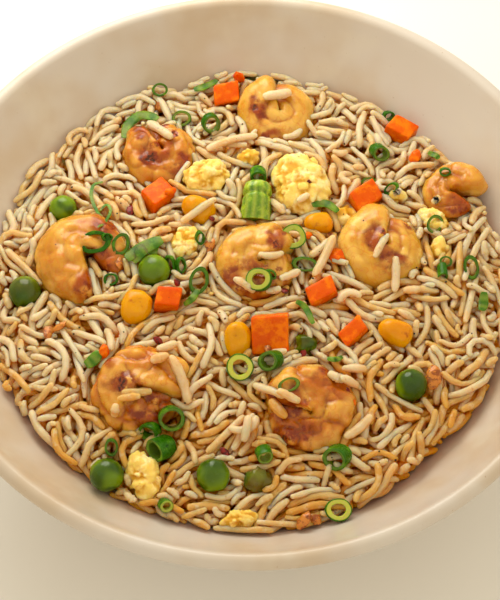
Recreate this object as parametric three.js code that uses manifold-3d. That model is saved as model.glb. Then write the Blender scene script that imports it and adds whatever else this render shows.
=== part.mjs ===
// A bowl of fried rice with prawns, peas, carrot, sweetcorn, egg and scallion.
// Millimetres, +Z up. The origin is at the middle of the foot's underside.

import * as THREE from 'three';
import { mergeVertices } from 'three/addons/utils/BufferGeometryUtils.js';
import Module from 'manifold-3d';

const wasm = await Module();
wasm.setup();

// ---------------------------------------------------------------- driving dimensions

const bowlHeight = 56;
const mouthRadius = 82.5; // inside edge of the rim
const innerFloor = 8; // inside bottom above the table
const wallThickness = 4.2;
const rimRoundness = 1.8;
const footRadius = 35; // outside of the foot ring
const footWidth = 5;
const footHollow = 3.2; // how far the underside stands off the table inside the foot
const edgeBreak = 1; // width of the small slopes that take the sharpness off the foot's edges
const bowlFacets = 32;

const riceRadius = 70; // the heap's height is set where the rice would meet the wall at this radius
// How far out the rice lies at each sixteenth of a turn: the heap was spooned in, not levelled.
const riceOutline = [
  68, 68, 68, 68, 72.5, 70, 70, 69,
  69, 68.5, 67.5, 67, 71, 67, 64.5, 66.5,
];
const crownHeight = 4.5; // middle of the heap above its edge
const riceRelief = 0.8; // height of the bumps that clumps of grains leave in the top
const clumpSize = 17; // length of one such bump
const clearance = 0.3; // between any two pieces that touch
const facetSlack = 0.4; // how far the bowl's flat facets stand inside its true curve
const socketSlack = 1.1; // how much wider a socket with fewer facets than its piece is cut

const prawnThickness = 6.5; // radius of the body near the head end
const prawnPlates = 6;
const prawnFlatness = 0.86; // height over width of the body
const coilEye = 0.9; // radius of the hole that is left in the middle of a prawn's coil
const peaRadius = 4.5;
const kernelSize = 8.6;
const diceBevel = 0.35;

// ---------------------------------------------------------------- small helpers

const radians = THREE.MathUtils.degToRad;
const turnUpright = (geometry) => geometry.rotateX(Math.PI / 2);

const smoothStep = (from, to, value) => THREE.MathUtils.smoothstep(value, from, to);

// A smooth bump field between -1 and 1: waves of one size that run in four directions. The
// directions lie a golden angle apart, so the bumps never fall into rows.
function ripple(point, size, seed) {
  const waves = 4;
  const goldenAngle = 2.4;
  let sum = 0;
  for (let wave = 0; wave < waves; wave += 1) {
    const heading = (seed + wave) * goldenAngle;
    const climb = Math.sin(seed + wave * 2);
    const along = point.x * Math.cos(heading) + point.y * Math.sin(heading) + point.z * climb;
    sum += Math.sin((along * 2 * Math.PI) / size + seed * (wave + 1));
  }
  return sum / waves;
}

// A ball whose points are moved by place(direction, share from pole to pole, angle round the axis).
function shapedBall(around, along, place) {
  const ball = new THREE.SphereGeometry(1, around, along);
  ball.deleteAttribute('uv');
  ball.deleteAttribute('normal');
  const geometry = turnUpright(mergeVertices(ball, 1e-4));
  const position = geometry.getAttribute('position');
  const direction = new THREE.Vector3();
  for (let i = 0; i < position.count; i += 1) {
    direction.fromBufferAttribute(position, i).normalize();
    const share = Math.acos(THREE.MathUtils.clamp(direction.z, -1, 1)) / Math.PI;
    const angle = Math.atan2(direction.y, direction.x);
    const moved = place(direction, share, angle);
    position.setXYZ(i, moved.x, moved.y, moved.z);
  }
  geometry.computeVertexNormals();
  return geometry;
}

function food(colour, roughness) {
  return new THREE.MeshStandardMaterial({ color: colour, roughness, metalness: 0 });
}

// ---------------------------------------------------------------- booleans

function toSolid(geometry) {
  const bare = geometry.clone();
  bare.deleteAttribute('normal');
  bare.deleteAttribute('uv');
  const merged = mergeVertices(bare, 1e-4);
  const mesh = new wasm.Mesh({
    numProp: 3,
    vertProperties: new Float32Array(merged.getAttribute('position').array),
    triVerts: new Uint32Array(merged.getIndex().array),
  });
  return new wasm.Manifold(mesh);
}

function fromSolid(solid) {
  const mesh = solid.getMesh();
  const geometry = new THREE.BufferGeometry();
  geometry.setAttribute('position', new THREE.BufferAttribute(mesh.vertProperties, 3));
  geometry.setIndex(new THREE.BufferAttribute(mesh.triVerts, 1));
  geometry.computeVertexNormals();
  return geometry;
}

// ---------------------------------------------------------------- bowl

// The inside is a cap of one sphere: deep enough for its floor, as wide as its mouth.
const innerDepth = bowlHeight - innerFloor;
const innerSphere = (mouthRadius ** 2 + innerDepth ** 2) / (2 * innerDepth);
const sphereCentre = innerFloor + innerSphere;

function heightInside(radius, inset = 0) {
  return sphereCentre - Math.sqrt((innerSphere - inset) ** 2 - radius ** 2);
}

function arcPoints(sphereRadius, fromRadius, toRadius, count) {
  const from = Math.asin(fromRadius / sphereRadius);
  const to = Math.asin(toRadius / sphereRadius);
  const points = [];
  for (let i = 0; i < count; i += 1) {
    const angle = from + ((to - from) * i) / (count - 1);
    const height = sphereCentre - sphereRadius * Math.cos(angle);
    points.push(new THREE.Vector2(sphereRadius * Math.sin(angle), height));
  }
  return points;
}

function bowlGeometry() {
  const outerSphere = innerSphere + wallThickness;
  const footInside = footRadius - footWidth;
  const footTop = sphereCentre - Math.sqrt(outerSphere ** 2 - footRadius ** 2);
  const lipRadius = mouthRadius + wallThickness - rimRoundness;
  const lipDrop = rimRoundness / 2; // the rim's two shoulders lie this far below its top
  const profile = [
    new THREE.Vector2(0, footHollow),
    new THREE.Vector2(footInside - edgeBreak, footHollow),
    new THREE.Vector2(footInside, 0),
    new THREE.Vector2(footRadius - edgeBreak, 0),
    new THREE.Vector2(footRadius, edgeBreak),
    new THREE.Vector2(footRadius, footTop - edgeBreak),
    ...arcPoints(outerSphere, footRadius + 2 * edgeBreak, lipRadius, 4),
    new THREE.Vector2(lipRadius + rimRoundness / 3, bowlHeight - lipDrop),
    new THREE.Vector2(mouthRadius + wallThickness / 2, bowlHeight),
    new THREE.Vector2(mouthRadius + rimRoundness / 4, bowlHeight - lipDrop),
    ...arcPoints(innerSphere, 0, mouthRadius - edgeBreak, 7).reverse(),
  ];
  profile.at(-1).x = 0;
  return turnUpright(new THREE.LatheGeometry(profile, bowlFacets));
}

// ---------------------------------------------------------------- rice

function riceHeight(x, y) {
  const share = Math.min(Math.hypot(x, y) / riceRadius, 1);
  return heightInside(riceRadius) + crownHeight * (1 - share ** 2);
}

// The rice's outline wanders in and out, smoothly from one of its radii to the next.
function riceEdge(angle) {
  const count = riceOutline.length;
  const step = ((angle / (2 * Math.PI) + 1) * count) % count;
  const before = Math.floor(step);
  const share = smoothStep(0, 1, step - before);
  return THREE.MathUtils.lerp(riceOutline[before], riceOutline[(before + 1) % count], share);
}

function riceGeometry() {
  const rings = 11;
  const topShare = 8 / 11; // of the rings lie in the top, the rest in the underside
  const shoulder = 0.86; // outside this share of the radius the top curves down to the wall
  return shapedBall(bowlFacets, rings, (direction, share, angle) => {
    const above = share < topShare;
    const fromMiddle = above ? share / topShare : (1 - share) / (1 - topShare);
    const radius = fromMiddle * riceEdge(angle);
    const point = new THREE.Vector3(radius * Math.cos(angle), radius * Math.sin(angle), 0);
    const wall = heightInside(radius, clearance + facetSlack);
    const atEdge = smoothStep(shoulder, 1, fromMiddle);
    const bumps = riceRelief * ripple(point, clumpSize, 3) * (1 - atEdge);
    const top = riceHeight(point.x, point.y) + bumps;
    point.z = above ? THREE.MathUtils.lerp(top, wall, atEdge ** 3) : wall;
    return point;
  });
}

// ---------------------------------------------------------------- toppings

// Every piece below but the prawn can be made coarse and swollen: so its socket in the rice is cut.

const bluntEnd = (distance, length) => Math.cbrt(1 - (1 - Math.min(distance / length, 1)) ** 3);

// A peeled prawn lies curled on its side. Its body follows a closing spiral from the thick head
// end to the tail. The tail may flick outwards.
function prawnAt({ coil, thickness = prawnThickness, flick = 0 }, share) {
  const closing = 0.25; // how much nearer the middle of the coil the tail lies than the head end
  const thinning = 0.42; // how much thinner the tail is
  const tailStart = 0.7;
  const spiral = coil * (1 - closing * share) + flick * smoothStep(tailStart, 1, share);
  return { spiral, radius: thickness * (1 - thinning * share ** 1.4) };
}

// Its plates swell between shallow folds. The belly side presses together round the eye of the
// coil, and both ends are blunt.
function prawnGeometry(sizes) {
  const foldDepth = 0.05;
  const squareness = 0.85; // 1 leaves an oval section, less fills its shoulders
  const [headLength, tailLength] = [0.07, 0.06]; // blunt ends, as shares of the body
  const closerAtEnds = 0.6; // how much closer than even the rings of facets lie near the ends
  const [around, along] = [7, 13];
  return shapedBall(around, along, (direction, evenShare, angle) => {
    const share = evenShare - (closerAtEnds * Math.sin(2 * Math.PI * evenShare)) / (2 * Math.PI);
    const heading = radians(sizes.sweep) * share;
    const { spiral, radius } = prawnAt(sizes, share);
    const ends = bluntEnd(share, headLength) * bluntEnd(1 - share, tailLength);
    const plate = 1 - foldDepth * (1 - Math.abs(Math.sin(Math.PI * prawnPlates * share)));
    const body = radius * plate * ends;
    const rise = Math.sin(angle) * Math.sign(sizes.sweep);
    const upBody = prawnFlatness * body * Math.sign(rise) * Math.abs(rise) ** squareness;
    const fromCoil = Math.max(spiral + body * Math.cos(angle), coilEye);
    return new THREE.Vector3(fromCoil * Math.cos(heading), fromCoil * Math.sin(heading), upBody);
  });
}

// A coil's socket is one hollow out to the coil's outline, so that no rice is left in its eye.
function prawnSocket(sizes) {
  const squareness = 0.5;
  const fill = (value) => Math.sign(value) * Math.abs(value) ** squareness;
  const [around, along] = [12, 5];
  return shapedBall(around, along, (direction, share, angle) => {
    const turned = (angle * Math.sign(sizes.sweep) + 2 * Math.PI) % (2 * Math.PI);
    const { spiral, radius } = prawnAt(sizes, Math.min(turned / radians(Math.abs(sizes.sweep)), 1));
    const out = (spiral + radius + sizes.swell) * fill(Math.sin(Math.PI * share));
    const up = (prawnFlatness * radius + sizes.swell) * fill(direction.z);
    return new THREE.Vector3(out * Math.cos(angle), out * Math.sin(angle), up);
  });
}

// A pea is a ball with a few shallow dents. A crumpled or split one is squashed and creased.
function peaGeometry(sizes) {
  const { size = 1, crease = 0.04, flat = 0.95, seed = 1, swell = 0, coarse = false } = sizes;
  const dentSize = 1.1; // of a ball of radius 1
  const [around, along] = coarse ? [6, 4] : [8, 6];
  return shapedBall(around, along, (direction) => {
    const dent = 1 - crease * (1 + ripple(direction, dentSize, seed));
    const radius = peaRadius * size * dent + swell;
    return direction.clone().multiplyScalar(radius).multiply(new THREE.Vector3(1, 1, flat));
  });
}

// A carrot dice is a block cut by hand: its ends are a little out of square.
function carrotGeometry({ length, width, height, skew = 0.6, swell = 0 }) {
  const alongHalf = length / 2 - diceBevel + swell;
  const acrossHalf = width / 2 - diceBevel + swell;
  const outline = new THREE.Shape([
    new THREE.Vector2(-alongHalf - skew, -acrossHalf),
    new THREE.Vector2(alongHalf, -acrossHalf + skew / 2),
    new THREE.Vector2(alongHalf + skew, acrossHalf),
    new THREE.Vector2(-alongHalf, acrossHalf - skew / 2),
  ]);
  const depth = height - 2 * diceBevel + 2 * swell;
  const bevel = { bevelEnabled: true, bevelSegments: 1, bevelSize: diceBevel, bevelThickness: diceBevel };
  return new THREE.ExtrudeGeometry(outline, { depth, ...bevel }).translate(0, 0, -depth / 2);
}

// A sweetcorn kernel has a broad rounded crown and narrows to the end that sat on the cob.
function kernelGeometry(sizes) {
  const { size = 1, narrow = 0.35, flat = 0.72, seed = 1, swell = 0, coarse = false } = sizes;
  const squareness = 0.8; // 1 leaves an oval, less fills its corners
  const unevenness = 0.06;
  const neck = -0.2; // the kernel narrows from here to its cob end at -1
  const [around, along] = coarse ? [6, 4] : [8, 6];
  const fill = (value) => Math.sign(value) * Math.abs(value) ** squareness;
  return shapedBall(around, along, (direction) => {
    const half = (kernelSize / 2) * size;
    const narrowing = narrow * smoothStep(neck, -1, direction.y);
    const width = 1 - narrowing - unevenness * ripple(direction, 1.3, seed);
    const square = new THREE.Vector3(fill(direction.x), fill(direction.y), direction.z);
    square.multiply(new THREE.Vector3(half * width, half, half * flat));
    return square.addScaledVector(direction, swell);
  });
}

// Scrambled egg sets in lumpy curds, longer than they are wide.
function eggGeometry(sizes) {
  const { length, width, height, lumps = 0.16, seed = 1, swell = 0, coarse = false } = sizes;
  const [lumpSize, crumbSize] = [1.15, 0.6]; // of a ball of radius 1
  const largeCurd = 9; // a longer curd gets more facets
  const half = new THREE.Vector3(length / 2, width / 2, height / 2);
  const fine = length > largeCurd ? [10, 7] : [8, 6];
  const [around, along] = coarse ? [9, 6] : fine;
  return shapedBall(around, along, (direction) => {
    const crumbs = (lumps / 2) * ripple(direction, crumbSize, seed + 5);
    const curd = 1 + lumps * ripple(direction, lumpSize, seed) + crumbs;
    return direction.clone().multiply(half).multiplyScalar(curd).addScaledVector(direction, swell);
  });
}

// A length of scallion is a tube. Where it is crimped its wall folds in, and its cut end is open.
function scallionGeometry({ length, radius, wall, open, crimp, swell = 0, coarse = false }) {
  const narrowestHole = 0.5;
  const outside = radius + swell;
  const inside = Math.max(radius - wall - swell, narrowestHole);
  const half = length / 2 + swell;
  const profile = [
    new THREE.Vector2(0, -half + length * open),
    new THREE.Vector2(inside, -half + length * open),
    new THREE.Vector2(inside, -half),
    new THREE.Vector2(outside * 0.95, -half),
    new THREE.Vector2(outside, -half + wall),
    new THREE.Vector2(outside * (1 - crimp), 0),
    new THREE.Vector2(outside * (1 - crimp / 3), half * 0.5),
    new THREE.Vector2(outside * 0.8, half),
    new THREE.Vector2(0, half),
  ];
  return new THREE.LatheGeometry(profile, coarse ? 7 : 9);
}

// ---------------------------------------------------------------- what lies where

const prawnColour = 0xdf9a5b;
const carrotColour = 0xec6a12;
const peaColour = 0x5b8f1c;
const kernelColour = 0xe8b41c;
const eggColour = 0xe9d27c;
const scallionColour = 0x4d8a26;

const kinds = {
  prawn: { make: prawnGeometry, socket: prawnSocket, material: () => food(prawnColour, 0.35) },
  pea: { make: peaGeometry, material: () => food(peaColour, 0.35) },
  carrot: { make: carrotGeometry, material: () => food(carrotColour, 0.45) },
  kernel: { make: kernelGeometry, material: () => food(kernelColour, 0.35) },
  egg: { make: eggGeometry, material: () => food(eggColour, 0.6) },
  scallion: { make: scallionGeometry, material: () => food(scallionColour, 0.4) },
};

// A stalk is hollow only near its cut end, and a short ring nearly right through.
const stalk = { wall: 1.1, open: 0.25 };
const ring = { wall: 1.2, open: 0.6 };

// Each topping is given by the middle of the piece over the bowl (x, y), how far that middle
// stands over the rice, its turn about the vertical, and how it leans about X and about Y.
const toppings = [
  ['prawn', [-23.8, 42, 0.4, 120], [10, 0], { coil: 5.4, sweep: 352, thickness: 5.8 }],
  ['prawn', [8, 55.8, 0.2, 95], [18, 0], { coil: 5.8, sweep: 352, thickness: 6.2 }],
  ['prawn', [-43.2, 9, 0.2, -74], [4, -6], { coil: 7.4, sweep: -306, thickness: 7, flick: 1.2 }],
  ['prawn', [2.2, 4.6, 0.2, 24], [8, 0], { coil: 6, sweep: 352 }],
  ['prawn', [35.2, 10.6, 0.2, 78], [6, 4], { coil: 6.3, sweep: 352, thickness: 6.8, flick: 0.8 }],
  ['prawn', [-28.2, -32, 0.2, -14], [8, 0], { coil: 6.6, sweep: 352, thickness: 7 }],
  ['prawn', [15, -38.2, 0.2, 168], [18, 4], { coil: 6.4, sweep: -352, thickness: 6.9 }],
  ['prawn', [54.2, 29, 1.4, -5], [4, -16], { coil: 4.8, sweep: 320, thickness: 4.9 }],

  ['pea', [-25, 3, 1.4, 0], [0, 0], { seed: 2 }],
  ['pea', [40.8, -30, 1.4, 20], [0, 0], { seed: 3, crease: 0.03, flat: 1.05 }],
  ['pea', [-9, -55, 1.2, 0], [10, 0], { seed: 4 }],
  ['pea', [-35.6, -54.4, 1.2, 40], [0, 0], { seed: 5 }],
  ['pea', [-50, 24.6, 0.4, 0], [0, 0], { seed: 6, size: 0.86 }],
  ['pea', [-58.8, -1.5, 0.6, 0], [0, 0], { seed: 7 }],
  ['pea', [13.9, -18.4, -0.4, 60], [0, 0], { seed: 8, size: 0.84, crease: 0.13 }],
  ['pea', [2, -56, 0.6, 15], [0, 20], { seed: 9, crease: 0.12, flat: 0.7 }],

  ['carrot', [-24.6, 27.2, 0.8, 45], [-8, 6], { length: 7.4, width: 6.6, height: 5 }],
  ['carrot', [-6.5, 61.8, 1.2, 10], [20, 0], { length: 6.4, width: 6, height: 6.6 }],
  ['carrot', [30.6, 26.6, 1.2, 35], [12, 8], { length: 7.4, width: 6.2, height: 5.4 }],
  ['carrot', [18.5, -3.6, 1.3, 25], [10, -8], { length: 7.2, width: 5.2, height: 4.2 }],
  ['carrot', [-21.2, -5.8, 1, -5], [8, 4], { length: 5.8, width: 5.4, height: 6.4 }],
  ['carrot', [5.2, -16.4, 1.9, 4], [38, -4], { length: 9, width: 9.8, height: 5, skew: 0.4 }],
  ['carrot', [26.5, -15, 0.6, 40], [14, -10], { length: 6.8, width: 4.6, height: 4.4 }],
  ['carrot', [41.2, 50, 1.4, -30], [0, 10], { length: 6.6, width: 5.8, height: 5 }],

  ['kernel', [-13.8, 22.6, 0.8, 60], [14, 14], { seed: 2, size: 1.1 }],
  ['kernel', [18, 18.2, 1, 100], [0, 10], { seed: 3, size: 0.92, flat: 0.62 }],
  ['kernel', [-29.4, -7.8, 1, 160], [12, 0], { seed: 4, narrow: 0.2, size: 1.08 }],
  ['kernel', [-3.1, -17.8, 1, 175], [30, 70], { seed: 5, flat: 0.66, size: 1.12 }],
  ['kernel', [37.2, -14.9, 1.2, 70], [10, 10], { seed: 6, size: 1.08 }],

  ['egg', [-12, 33.2, 1.2, 20], [0, 0], { length: 12.6, width: 10, height: 6.4, seed: 2 }],
  ['egg', [13.4, 29.8, 1.4, 105], [4, 0], { length: 19.6, width: 15.4, height: 8.4, seed: 7 }],
  ['egg', [-0.4, 39.8, 0.8, 10], [0, 0], { length: 6.6, width: 5.2, height: 5, seed: 4 }],
  ['egg', [-17, 12.4, 0.4, 60], [0, 0], { length: 9.5, width: 8.2, height: 5.4, seed: 5 }],
  ['egg', [24.8, 21.8, 0.2, 20], [0, 0], { length: 6.6, width: 5, height: 5, seed: 6 }],
  ['egg', [38.9, 28.2, 0.4, 10], [0, 0], { length: 5.8, width: 4.4, height: 4.4, seed: 3 }],
  ['egg', [49.1, 20.1, 0.4, -36], [0, 0], { length: 10, width: 5, height: 5, seed: 8 }],
  ['egg', [49.9, 11.6, 0.2, 80], [0, 0], { length: 7.6, width: 5, height: 4.6, seed: 12 }],
  ['egg', [-26.6, -54.6, 0.6, -70], [6, 0], { length: 14.5, width: 8, height: 4.2, seed: 9, lumps: 0.2 }],
  ['egg', [-2.5, -66.2, 0.8, 14], [0, 0], { length: 9.6, width: 4, height: 3.8, seed: 11 }],

  ['scallion', [1.8, 24.8, 1.6, -4], [20, 0], { ...stalk, length: 10.8, radius: 3.9, crimp: 0.12 }],
  ['scallion', [-19.8, -40.6, 3.4, 40], [0, 0], { ...ring, length: 4.4, radius: 3.2, crimp: 0.05 }],
  ['scallion', [-22, -47.4, 1, -60], [0, 0], { ...ring, length: 6, radius: 3, crimp: 0.1 }],
];

function settle(mesh, [x, y, rise, turn], [leanX, leanY]) {
  mesh.position.set(x, y, riceHeight(x, y) + rise);
  mesh.rotation.set(radians(leanX), radians(leanY), radians(turn));
  mesh.updateMatrix();
}

// ---------------------------------------------------------------- the filled bowl

const filledBowl = new THREE.Group();

const bowl = new THREE.Mesh(bowlGeometry(), food(0xc8a375, 0.3));
bowl.name = 'bowl';
filledBowl.add(bowl);

const counts = {};
const socketCutters = [];
for (const [kind, place, lean, sizes] of toppings) {
  counts[kind] = (counts[kind] ?? 0) + 1;
  const { make, socket = make, material } = kinds[kind];
  const piece = new THREE.Mesh(make(sizes), material());
  piece.name = `${kind}_${counts[kind]}`;
  settle(piece, place, lean);
  filledBowl.add(piece);
  const looser = socket({ ...sizes, swell: clearance + socketSlack, coarse: true });
  socketCutters.push(toSolid(looser.applyMatrix4(piece.matrix)));
}

// Every topping lies in a socket of its own in the rice.
let heap = toSolid(riceGeometry());
for (const cutter of socketCutters) {
  heap = heap.subtract(cutter);
}
// Sockets that meet may cut a crumb loose between them: only the heap itself stays.
heap = heap.decompose().reduce((most, other) => (other.volume() > most.volume() ? other : most));
const rice = new THREE.Mesh(fromSolid(heap), food(0xd3ab73, 0.6));
rice.name = 'rice_heap';
filledBowl.add(rice);

export default filledBowl;
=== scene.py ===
# %% [markdown]
# # A bowl of fried rice with prawns
#
# Fried rice is a loose heap of slender grains with larger things half sunk in it. This lesson
# builds it the way it is served: first the bowl, then the core of the heap, then the prawns and
# vegetables, and last the grains, which are dropped one by one until the heap is full. The large
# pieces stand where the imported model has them. The small garnishes are set where they show.

# %% Load the frame
import itertools
import math

import bmesh
import bpy
import numpy as np
from mathutils import Matrix, Vector
from mathutils.bvhtree import BVHTree


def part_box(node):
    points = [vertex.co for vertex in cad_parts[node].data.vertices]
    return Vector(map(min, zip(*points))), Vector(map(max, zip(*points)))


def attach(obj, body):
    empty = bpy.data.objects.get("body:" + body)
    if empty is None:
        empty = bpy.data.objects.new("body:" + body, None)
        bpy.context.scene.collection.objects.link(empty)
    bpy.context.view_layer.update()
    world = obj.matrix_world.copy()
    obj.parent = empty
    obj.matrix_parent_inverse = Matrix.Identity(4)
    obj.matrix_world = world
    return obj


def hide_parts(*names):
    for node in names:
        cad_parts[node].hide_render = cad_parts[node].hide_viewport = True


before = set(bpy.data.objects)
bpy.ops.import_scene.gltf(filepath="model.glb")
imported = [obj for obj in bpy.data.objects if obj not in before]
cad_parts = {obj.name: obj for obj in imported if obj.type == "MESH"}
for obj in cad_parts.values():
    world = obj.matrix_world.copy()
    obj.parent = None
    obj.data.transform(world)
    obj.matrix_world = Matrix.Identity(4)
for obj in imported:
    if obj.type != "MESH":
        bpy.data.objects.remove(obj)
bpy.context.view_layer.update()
print("solids in the frame:", len(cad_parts))

# %% [markdown]
# ## The camera
#
# The bowl is seen from the front and well above, close enough that the food fills the picture.
# Small garnishes are easiest to place by where they show, so the camera comes first and hands out
# sight lines: a point in the picture (500 wide, 600 high) gives the line that it is seen along.
# All shapes are worked out in millimetres and become metres when a mesh is made.

# %% Camera and sight lines
MM = 0.001
VIEW_ELEVATION = math.radians(59)
VIEW_DISTANCE = 550.0
VIEW_AIM = np.array([0.0, -4.0, 41.0])
PICTURE_WIDTH, PICTURE_HEIGHT = 500, 600
FOCAL_PIXELS = 2115.0
SENSOR = 36.0

view_back = np.array([0.0, -math.cos(VIEW_ELEVATION), math.sin(VIEW_ELEVATION)])
view_right = np.array([1.0, 0.0, 0.0])
view_up = np.cross(view_back, view_right)
eye = VIEW_AIM + VIEW_DISTANCE * view_back

camera = bpy.data.objects.new("camera", bpy.data.cameras.new("camera"))
bpy.context.scene.collection.objects.link(camera)
camera.location = Vector(eye * MM)
camera.rotation_euler = (math.pi / 2 - VIEW_ELEVATION, 0, 0)
camera.data.sensor_width = SENSOR
camera.data.lens = SENSOR * FOCAL_PIXELS / PICTURE_HEIGHT
camera.data.clip_start = 0.01
bpy.context.scene.camera = camera


def sight_line(across, down):
    """The direction in which a picture point is seen from the eye."""
    sideways = (across - PICTURE_WIDTH / 2) / FOCAL_PIXELS
    upwards = (PICTURE_HEIGHT / 2 - down) / FOCAL_PIXELS
    line = -view_back + sideways * view_right + upwards * view_up
    return line / np.linalg.norm(line)


print("lens in millimetres:", round(camera.data.lens, 1))

# %% [markdown]
# ## Shared helpers
#
# Three things are needed again and again: a mesh made from arrays, a ball of evenly spread
# directions that soft things are shaped from, and smooth random bumps. The bumps are a table of
# random numbers on a cubic lattice, blended between its corners, so they cost little even on
# large meshes and come out the same on every run.

# %% Meshes from arrays
def mesh_object(name, points, edges=(), faces=(), **values):
    """An object from points in millimetres, with any named values stored for each point."""
    mesh = bpy.data.meshes.new(name)
    mesh.from_pydata((np.asarray(points, float) * MM).tolist(), edges, faces)
    for label, numbers in values.items():
        store_values(mesh, label, numbers)
    piece = bpy.data.objects.new(name, mesh)
    bpy.context.scene.collection.objects.link(piece)
    return piece


def store_values(mesh, label, numbers):
    numbers = np.asarray(numbers, np.float32)
    kind, field = ("FLOAT", "value") if numbers.ndim == 1 else ("FLOAT_VECTOR", "vector")
    mesh.attributes.new(label, kind, "POINT").data.foreach_set(field, numbers.ravel())


def dress(piece, material):
    piece.data.materials.clear()
    piece.data.materials.append(material)
    piece.data.shade_smooth()


def facets(piece):
    return sum(len(polygon.vertices) - 2 for polygon in piece.data.polygons)


# %% Directions and bumps
def ball_directions(level):
    """Unit directions and triangles of an evenly divided ball."""
    form = bmesh.new()
    bmesh.ops.create_icosphere(form, subdivisions=level, radius=1)
    directions = np.array([corner.co for corner in form.verts])
    triangles = [[corner.index for corner in face.verts] for face in form.faces]
    form.free()
    return directions / np.linalg.norm(directions, axis=1)[:, None], triangles


def tube_grid(around, along):
    """Shares along, angles around and faces of a closed body with a pole at each end."""
    share = np.repeat(np.arange(1, along) / along, around)
    angle = np.tile(np.arange(around) * 2 * math.pi / around, along - 1)
    share = np.concatenate([[0], share, [1]])
    angle = np.concatenate([[0], angle, [0]])
    last = len(share) - 1
    faces = []
    for j in range(around):
        beside = (j + 1) % around
        faces.append((0, 1 + j, 1 + beside))
        for i in range(along - 2):
            here, below = 1 + i * around, 1 + (i + 1) * around
            faces.append((here + j, below + j, below + beside, here + beside))
        end = 1 + (along - 2) * around
        faces.append((end + j, last, end + beside))
    return share, angle, faces


LATTICE = 24
LATTICE_SHIFT = 0.37
TINY = 1e-6


def bumps(points, size, seed):
    """Smooth random heights between -1 and 1, with one bump about every `size` millimetres."""
    table = np.random.default_rng(seed).uniform(-1, 1, (LATTICE, LATTICE, LATTICE))
    spot = np.asarray(points, float) / size + seed * LATTICE_SHIFT
    corner = np.floor(spot).astype(int)
    share = spot - corner
    share = share * share * (3 - 2 * share)
    height = np.zeros(len(spot))
    for step in itertools.product((0, 1), repeat=3):
        weight = np.prod(np.where(step, share, 1 - share), axis=1)
        height += weight * table[tuple(((corner + step) % LATTICE).T)]
    return height


def relief(points, layers):
    """Several sizes of bumps, one on the other: the height, size and seed of each."""
    return sum(height * bumps(points, size, seed) for height, size, seed in layers)


def smooth_step(low, high, value):
    share = np.clip((value - low) / (high - low), 0, 1)
    return share * share * (3 - 2 * share)


# %% [markdown]
# ## Node trees
#
# A small builder keeps the trees readable: each one declares its inputs by name, and `run_tree`
# sets them by their identifiers, evaluates the object, and keeps the result as a plain mesh.

# %% Building and running node trees
SOCKET = {"int": "NodeSocketInt", "number": "NodeSocketFloat", "material": "NodeSocketMaterial"}


def new_tree(name, **inputs):
    tree = bpy.data.node_groups.new(name, "GeometryNodeTree")
    tree.interface.new_socket("Geometry", in_out="INPUT", socket_type="NodeSocketGeometry")
    for label, kind in inputs.items():
        title = label.replace("_", " ").title()
        tree.interface.new_socket(title, in_out="INPUT", socket_type=SOCKET[kind])
    tree.interface.new_socket("Mesh", in_out="OUTPUT", socket_type="NodeSocketGeometry")
    return tree, add(tree, "NodeGroupInput"), add(tree, "NodeGroupOutput")


def add(tree, kind, values=None, **settings):
    node = tree.nodes.new(kind)
    for name, setting in settings.items():
        setattr(node, name, setting)
    for name, value in (values or {}).items():
        node.inputs[name].default_value = value
    return node


def join(tree, *pairs):
    """Links (node, output) to (node, input), two by two."""
    for (source, output), (target, entry) in pairs:
        tree.links.new(source.outputs[output], target.inputs[entry])


def finish_tree(tree, source, given, result):
    """Every tree ends the same way: smooth, realized, and given its material."""
    smooth = add(tree, "GeometryNodeSetShadeSmooth")
    real = add(tree, "GeometryNodeRealizeInstances")
    coated = add(tree, "GeometryNodeSetMaterial")
    join(
        tree,
        (source, (smooth, "Geometry")),
        ((smooth, "Geometry"), (real, "Geometry")),
        ((real, "Geometry"), (coated, "Geometry")),
        ((given, "Material"), (coated, "Material")),
        ((coated, "Geometry"), (result, "Mesh")),
    )


def run_tree(piece, tree, **values):
    modifier = piece.modifiers.new(tree.name, "NODES")
    modifier.node_group = tree
    for socket in tree.interface.items_tree:
        label = socket.name.lower().replace(" ", "_")
        if socket.in_out == "INPUT" and label in values:
            modifier[socket.identifier] = values[label]
    shown = piece.evaluated_get(bpy.context.evaluated_depsgraph_get())
    mesh = bpy.data.meshes.new_from_object(shown)
    piece.modifiers.remove(modifier)
    piece.data = mesh
    print(f"{piece.name}: {facets(piece)} triangles from the tree '{tree.name}'")


# %% [markdown]
# ## Looks that several finishes share
#
# Cooked food is never one colour. Two shader groups are built once and used in every finish:
# one gives soft blotches of any size, the other a moist skin, whose fine bumps break up the
# highlights. The finishes differ in colour, in how deep light gets into them and in how wet
# they are.

# %% Shader groups
SKIN_RELIEF = 0.3


def tint(red, green, blue):
    """A colour as seen on a screen (0 to 255), as the light that a shader works with."""
    def light(value):
        value /= 255
        return value / 12.92 if value <= 0.04045 else ((value + 0.055) / 1.055) ** 2.4

    return light(red), light(green), light(blue), 1.0


def new_group(name, inputs, outputs):
    group = bpy.data.node_groups.new(name, "ShaderNodeTree")
    for label, (kind, value) in inputs.items():
        socket = group.interface.new_socket(label, in_out="INPUT", socket_type=kind)
        if value is not None:
            socket.default_value = value
    for label, kind in outputs.items():
        group.interface.new_socket(label, in_out="OUTPUT", socket_type=kind)
    return group, add(group, "NodeGroupInput"), add(group, "NodeGroupOutput")


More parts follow.
